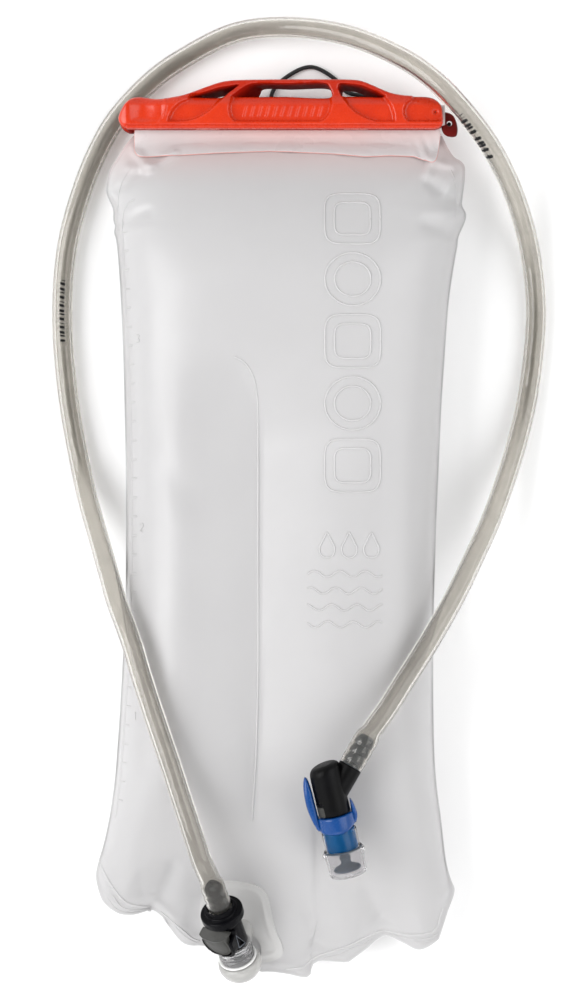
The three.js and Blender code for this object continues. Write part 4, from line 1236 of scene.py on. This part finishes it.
# Sunk panels of the front face.
PANELS = [
    [(-53.6, 191.7), (-52.9, 194.6), (-51.4, 197.6), (-49.4, 200.1), (-47, 201.9), (-44.2, 203.1),
     (-43, 206), (-24.5, 206), (-27, 203.2), (-29.6, 200.2), (-32.8, 197.1), (-36.4, 194.6),
     (-40, 192.8), (-44, 191.9)],
    [(-22.6, 191.7), (-24.6, 194), (-25.4, 197.5), (-25.2, 200.6), (-24, 204), (-20, 207),
     (20.9, 207), (22.6, 204), (23, 200.4), (21.9, 195.8), (19.8, 193), (17.6, 191.7)],
    [(42.6, 191.7), (38, 193), (33.3, 195.6), (29.6, 199), (27.2, 203), (27, 207), (44, 207),
     (48, 203.6), (50.3, 199.6), (51.7, 195.4), (51.8, 191.7)],
    [(57.5, 191.7), (55.8, 193.2), (54.9, 195.6), (54.9, 198.2), (56.1, 201), (58.6, 203),
     (59.5, 206), (80, 206), (80, 191.7)],
]
LEFT_PANEL_EDGE = [(-53.8, 206), (-54, 203), (-53.6, 199.3), (-54.5, 195.2), (-56.6, 191.7)]


def panel_depth(x, y):
    """How far the front face is sunk, from 0 on ribs and rim to 1 on the panels' floors."""
    flat = np.column_stack([x, y])
    depth = np.zeros(len(flat))
    for loop in PANELS:
        loop = np.array(loop, float)
        away = distance_to([loop], flat)
        depth = np.maximum(depth, np.where(contains(loop, flat), smooth_step(away / 1.5), 0))
    return depth


def slider_front(x, y):
    depth = panel_depth(x, y)
    z = RAISED - (RAISED - FACE) * depth
    # The face rolls back towards its upper edge.
    z -= 2.4 * smooth_step((y - 199.5) / 5.5)
    # Foot of each strut swells to the left.
    for left, right in ((-44, -25.5), (24.5, 43)):
        across = np.clip((x - left) / (right - left), 0, 1)
        z += 0.5 * np.sin(math.pi * across) * (1 - depth) * smooth_step((200 - y) / 8)
    # Double rim along the lower edge.
    z -= 0.55 * np.exp(-(((y - 190.65) / 0.28) ** 2))
    # Finger grip at the left end: a hump, a saddle and a gentle rise.
    grip = smooth_step((-54.6 - x) / 1.2)
    saddle = np.exp(-(((x + 64.2) / 4.4) ** 2)) * (0.55 + 0.45 * smooth_step((y - 192) / 8))
    rise = smooth_step((-66 - x) / 5) * 0.8
    z = z + grip * (-0.4 - 1.5 * saddle + rise) * smooth_step((y - 190.9) / 3)
    z -= 1.6 * smooth_step((-70 - x) / 6) ** 2
    # Thin rib between the grip and the first panel.
    rib = distance_to([through(LEFT_PANEL_EDGE, 0.5)], np.column_stack([x, y]), closed=False)
    z += 0.35 * np.exp(-((rib / 0.55) ** 2)) * smooth_step((y - 191.2) / 0.8)
    # Slanted ribs moulded into the middle panel.
    for k in range(11):
        middle = -17.5 + k * 3.45
        lean = (y - 197) * 0.28
        bar = np.exp(-(((x - middle - lean) / 0.52) ** 4)) * smooth_step((y - 194.1) / 0.7)
        z += 0.3 * bar * smooth_step((200.1 - y) / 0.7)
    # Dimple of the leash's knot.
    z -= 1.3 * np.exp(-(((x - 70.2) ** 2 + (y - 196.8) ** 2) / 0.75))
    return z


def slider_back(x, y):
    """The back's height: lower behind the handle and behind the left grip."""
    handle = smooth_step((x + 56) / 6) * smooth_step((61 - x) / 6) * smooth_step((y - 203.7) / 0.8)
    grip = smooth_step((-54 - x) / 2)
    return BODY_BACK - (BODY_BACK - HANDLE_BACK) * handle - (BODY_BACK - GRIP_BACK) * grip


def make_slider():
    spacing = 0.5
    rim = even_loop(through(SLIDER_EDGE, 0.4), spacing)

    def window(points, count):
        return by_share(through(points + points[:1], 0.2), np.linspace(0, 1, count + 1)[:-1])

    counts = [len(even_loop(np.array(front, float), spacing)) for front, _ in WINDOWS]
    fronts, backs = [[window(pair[side], count) for pair, count in zip(WINDOWS, counts)]
                     for side in (0, 1)]
    face, face_tris = triangulated(rim, spacing, fronts)
    rear, rear_tris = triangulated(rim, 1.2, backs, room=0.3)
    z_face = slider_front(face[:, 0], face[:, 1])
    z_face -= soft_edge(distance_to([rim], face), 0.9) + soft_edge(distance_to(fronts, face), 0.5)
    z_rear = slider_back(rear[:, 0], rear[:, 1])
    z_rear += soft_edge(distance_to([rim], rear), 0.8)
    parts = [(np.column_stack([face, z_face]), face_tris),
             (np.column_stack([rear, z_rear]), rear_tris)]
    # Walls between the two faces, round the outside and in each window.
    start, steps = 0, np.linspace(0, 1, 7)[:, None, None]
    for front, back in zip([rim, *fronts], [rim, *backs]):
        end = start + len(front)
        top = np.column_stack([front, z_face[start:end]])
        low = np.column_stack([back, z_rear[start:end]])
        wall = (top * (1 - steps) + low * steps).reshape(-1, 3)
        parts.append((wall, grid_faces(len(steps), len(front), around=True)))
        start = end
    made = piece("slider_body", *joined(*parts), ORANGE, None, sharp=50)
    # Steep faces below the front's rolled edge are duller than the rest, and take a darker copy of
    # the orange as painted shade.
    made.data.materials.append(ORANGE_PAINTED_SHADE)
    for face in made.data.polygons:
        if abs(face.normal.z) < 0.5 and face.center.z < WALL_TOP * MM:
            face.material_index = 1
    cut_channel(made)
    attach(made, "slide_closure")
    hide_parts("slider")


def cut_channel(target):
    """The slot and the chamber that the rolled mouth and its rail run in."""
    outline = rounded([
        (188, 20.6), (190.4, 20.6), (190.4, 20), (201.6, 20), (201.6, 30), (190.4, 30),
        (190.4, 26.9), (188, 26.9)], 0.3, 3, ring=True)
    along = np.array([[0, 0, 1, 0], [1, 0, 0, 0], [0, 1, 0, 0], [0, 0, 0, 1]], float)
    combine(target, *extruded(outline, -80, 80), "DIFFERENCE", along, 50)


def make_rail():
    bead = rounded([(193.2, 23.2), (198.8, 23.2), (198.8, 27.2), (193.2, 27.2)], 1.0, 4, ring=True)
    places = np.linspace(-69.5, 74.4, 9)
    bar = (np.array([(x, y, z) for x in places for y, z in bead]),
           grid_faces(len(places), len(bead), around=True) + end_caps(len(places), len(bead)))
    tab = smooth_loop([
        (73.6, 197.2), (76.4, 197.3), (78.6, 196), (80.2, 192.6), (80.7, 189), (80, 186.6),
        (77.4, 186.2), (74.8, 187.2), (73.4, 189.5), (73.2, 194)], 0.5)
    hook = smooth_loop([
        (-72.6, 194), (-72.9, 190.6), (-71.4, 188.6), (-69.6, 187.6), (-69, 189), (-69.2, 192),
        (-69.4, 195.4), (-71.2, 196)], 0.5)
    tab_part = slab(tab, 23.4, 25.9, 0.7, [circle(76.9, 192.4, 1.25)], 0.55)
    hook_part = slab(hook, 23.4, 25.8, 0.6, (), 0.6)
    piece("closure_rail_bar", *joined(bar, tab_part, hook_part), DARK_RED, "reservoir",
          ["closure_rail"], "dark_red_plastic")


# Lower edge of the folded mouth: place along the closure and height on the bag.
FLAP_EDGE = [(-64, 176.4), (-50, 177), (-31, 178.1), (-6, 179.1), (21, 177.9), (38, 176.3),
             (49, 176.9), (60, 176.6), (66, 174.4), (70, 172.2)]


FOLD_LEFT = -68.5
FOLD_RIGHT = 72.6


def make_fold():
    """The mouth folded over the rail, its free end hanging in front as a flap."""
    columns, rows = 150, 30
    u = np.linspace(0, 1, columns)
    hidden = through([
        (187.6, 22.0), (193, 21.8), (199.2, 22), (199.9, 23), (199.9, 27.6), (199.2, 28.4),
        (196, 28.5), (192.7, 28.4), (190.9, 25.9), (189.4, 25.8)], 1.0)
    points = []
    for y, z in hidden:
        right = FOLD_RIGHT + 2 if 191.5 < y else FOLD_RIGHT
        points += [(x, y, z) for x in FOLD_LEFT + (right - FOLD_LEFT) * u]
    edge_x, edge_y = zip(*FLAP_EDGE)
    for v in np.linspace(0, 1, rows + 1)[1:]:
        # The flap's lower corners are rounded.
        corner = 1 - math.sqrt(1 - max(0, (v - 0.66) / 0.34) ** 2)
        left = FOLD_LEFT + 3.6 * corner
        right = FOLD_RIGHT - 2.6 * v**1.6 - 2.6 * corner
        for x in left + (right - left) * u:
            y = 189.2 + (np.interp(x, edge_x, edge_y) - 189.2) * v
            rest = film_height(min(max(x, -66), 68), min(y, 186))
            lift = 25.9 + (rest + 0.6 - 25.9) * smooth_step(v * 1.05)
            wave = 0.3 * math.sin(x * 0.21 + 1) * v + 0.22 * math.sin(x * 0.53) * v * v
            crumple = np.exp(-(((x - 66) / 4.5) ** 2)) * v
            pleat = crumple * (0.8 * math.sin(x * 1.15 + y * 0.4) + 0.5)
            points.append((x, y, max(lift + wave + pleat, rest + 0.55)))
    total = len(hidden) + rows
    fold = piece("mouth_fold_film", *shell(points, grid_faces(total, columns), 0.5), FOLD_FILM,
                 "reservoir", ["mouth_fold"], "fold_film", 60)
    # A painted glow: the flap's cut edge carries the closure's orange light as a fine pink line.
    flap = np.array(points).reshape(total, columns, 3)[len(hidden) + 2:]
    glow_line = evenly(np.vstack([flap[:-1, 0], flap[-1], flap[-2::-1, -1]]), 0.8) + [0, 0, 0.02]
    piece("mouth_fold_edge_glow", *tube_mesh(glow_line, np.full(len(glow_line), 0.22), 8), EDGE_GLOW_FILM, "reservoir", (),
          "fold_film", 60)


make_slider()
make_rail()
make_fold()

# ------------------------------------------------------------------ stage
def make_floor():
    half, level = 4.0, -0.0002
    mesh = bpy.data.meshes.new("floor")
    mesh.from_pydata([(-half, -half, level), (half, -half, level), (half, half, level),
                      (-half, half, level)], [], [(0, 1, 2, 3)])
    floor = bpy.data.objects.new("floor", mesh)
    scene.collection.objects.link(floor)
    paint = bpy.data.materials.new("floor")
    n = Nodes(paint)
    cloud = n.range(n.noise(3, 2), 0.3, 0.7, 0, 1)
    n.surface({"Base Color": n.mix(cloud, (0.93, 0.93, 0.93), (0.95, 0.95, 0.95)),
               "Roughness": 0.9})
    mesh.materials.append(paint)


def softbox(name, place, size, power):
    """Rectangular lamp that faces the middle of the bag."""
    lamp = bpy.data.lights.new(name, "AREA")
    lamp.shape = "RECTANGLE"
    lamp.size, lamp.size_y = size
    lamp.energy = power
    holder = bpy.data.objects.new(name, lamp)
    holder.location = place
    holder.rotation_euler = (-Vector(place)).to_track_quat("-Z", "Y").to_euler()
    scene.collection.objects.link(holder)


def make_room():
    """A white room with a darker ceiling over the camera, brighter on the left."""
    world = bpy.data.worlds.new("studio")
    scene.world = world
    n = Nodes(world, "Background", "Generated")
    strength = None
    for name, levels in (("Z", (0.6, 0.94, 1.04, 0.36)), ("X", (-1, 1, 1.04, 0.94)),
                         ("Y", (-1, 1, 1.08, 0.84))):
        level = n.range(n.axis(name), *levels, "SMOOTHSTEP")
        strength = level if strength is None else n.times(strength, level)
    n.surface({"Color": (1, 1, 1), "Strength": strength})


make_floor()
softbox("key", (-1.4, 0.05, 1.4), (1.3, 1.3), 29)
softbox("fill", (1.3, 0.1, 1.5), (1.6, 1.6), 17)
softbox("low", (0.1, -1.35, 1.25), (1.5, 0.6), 4.6)
make_room()
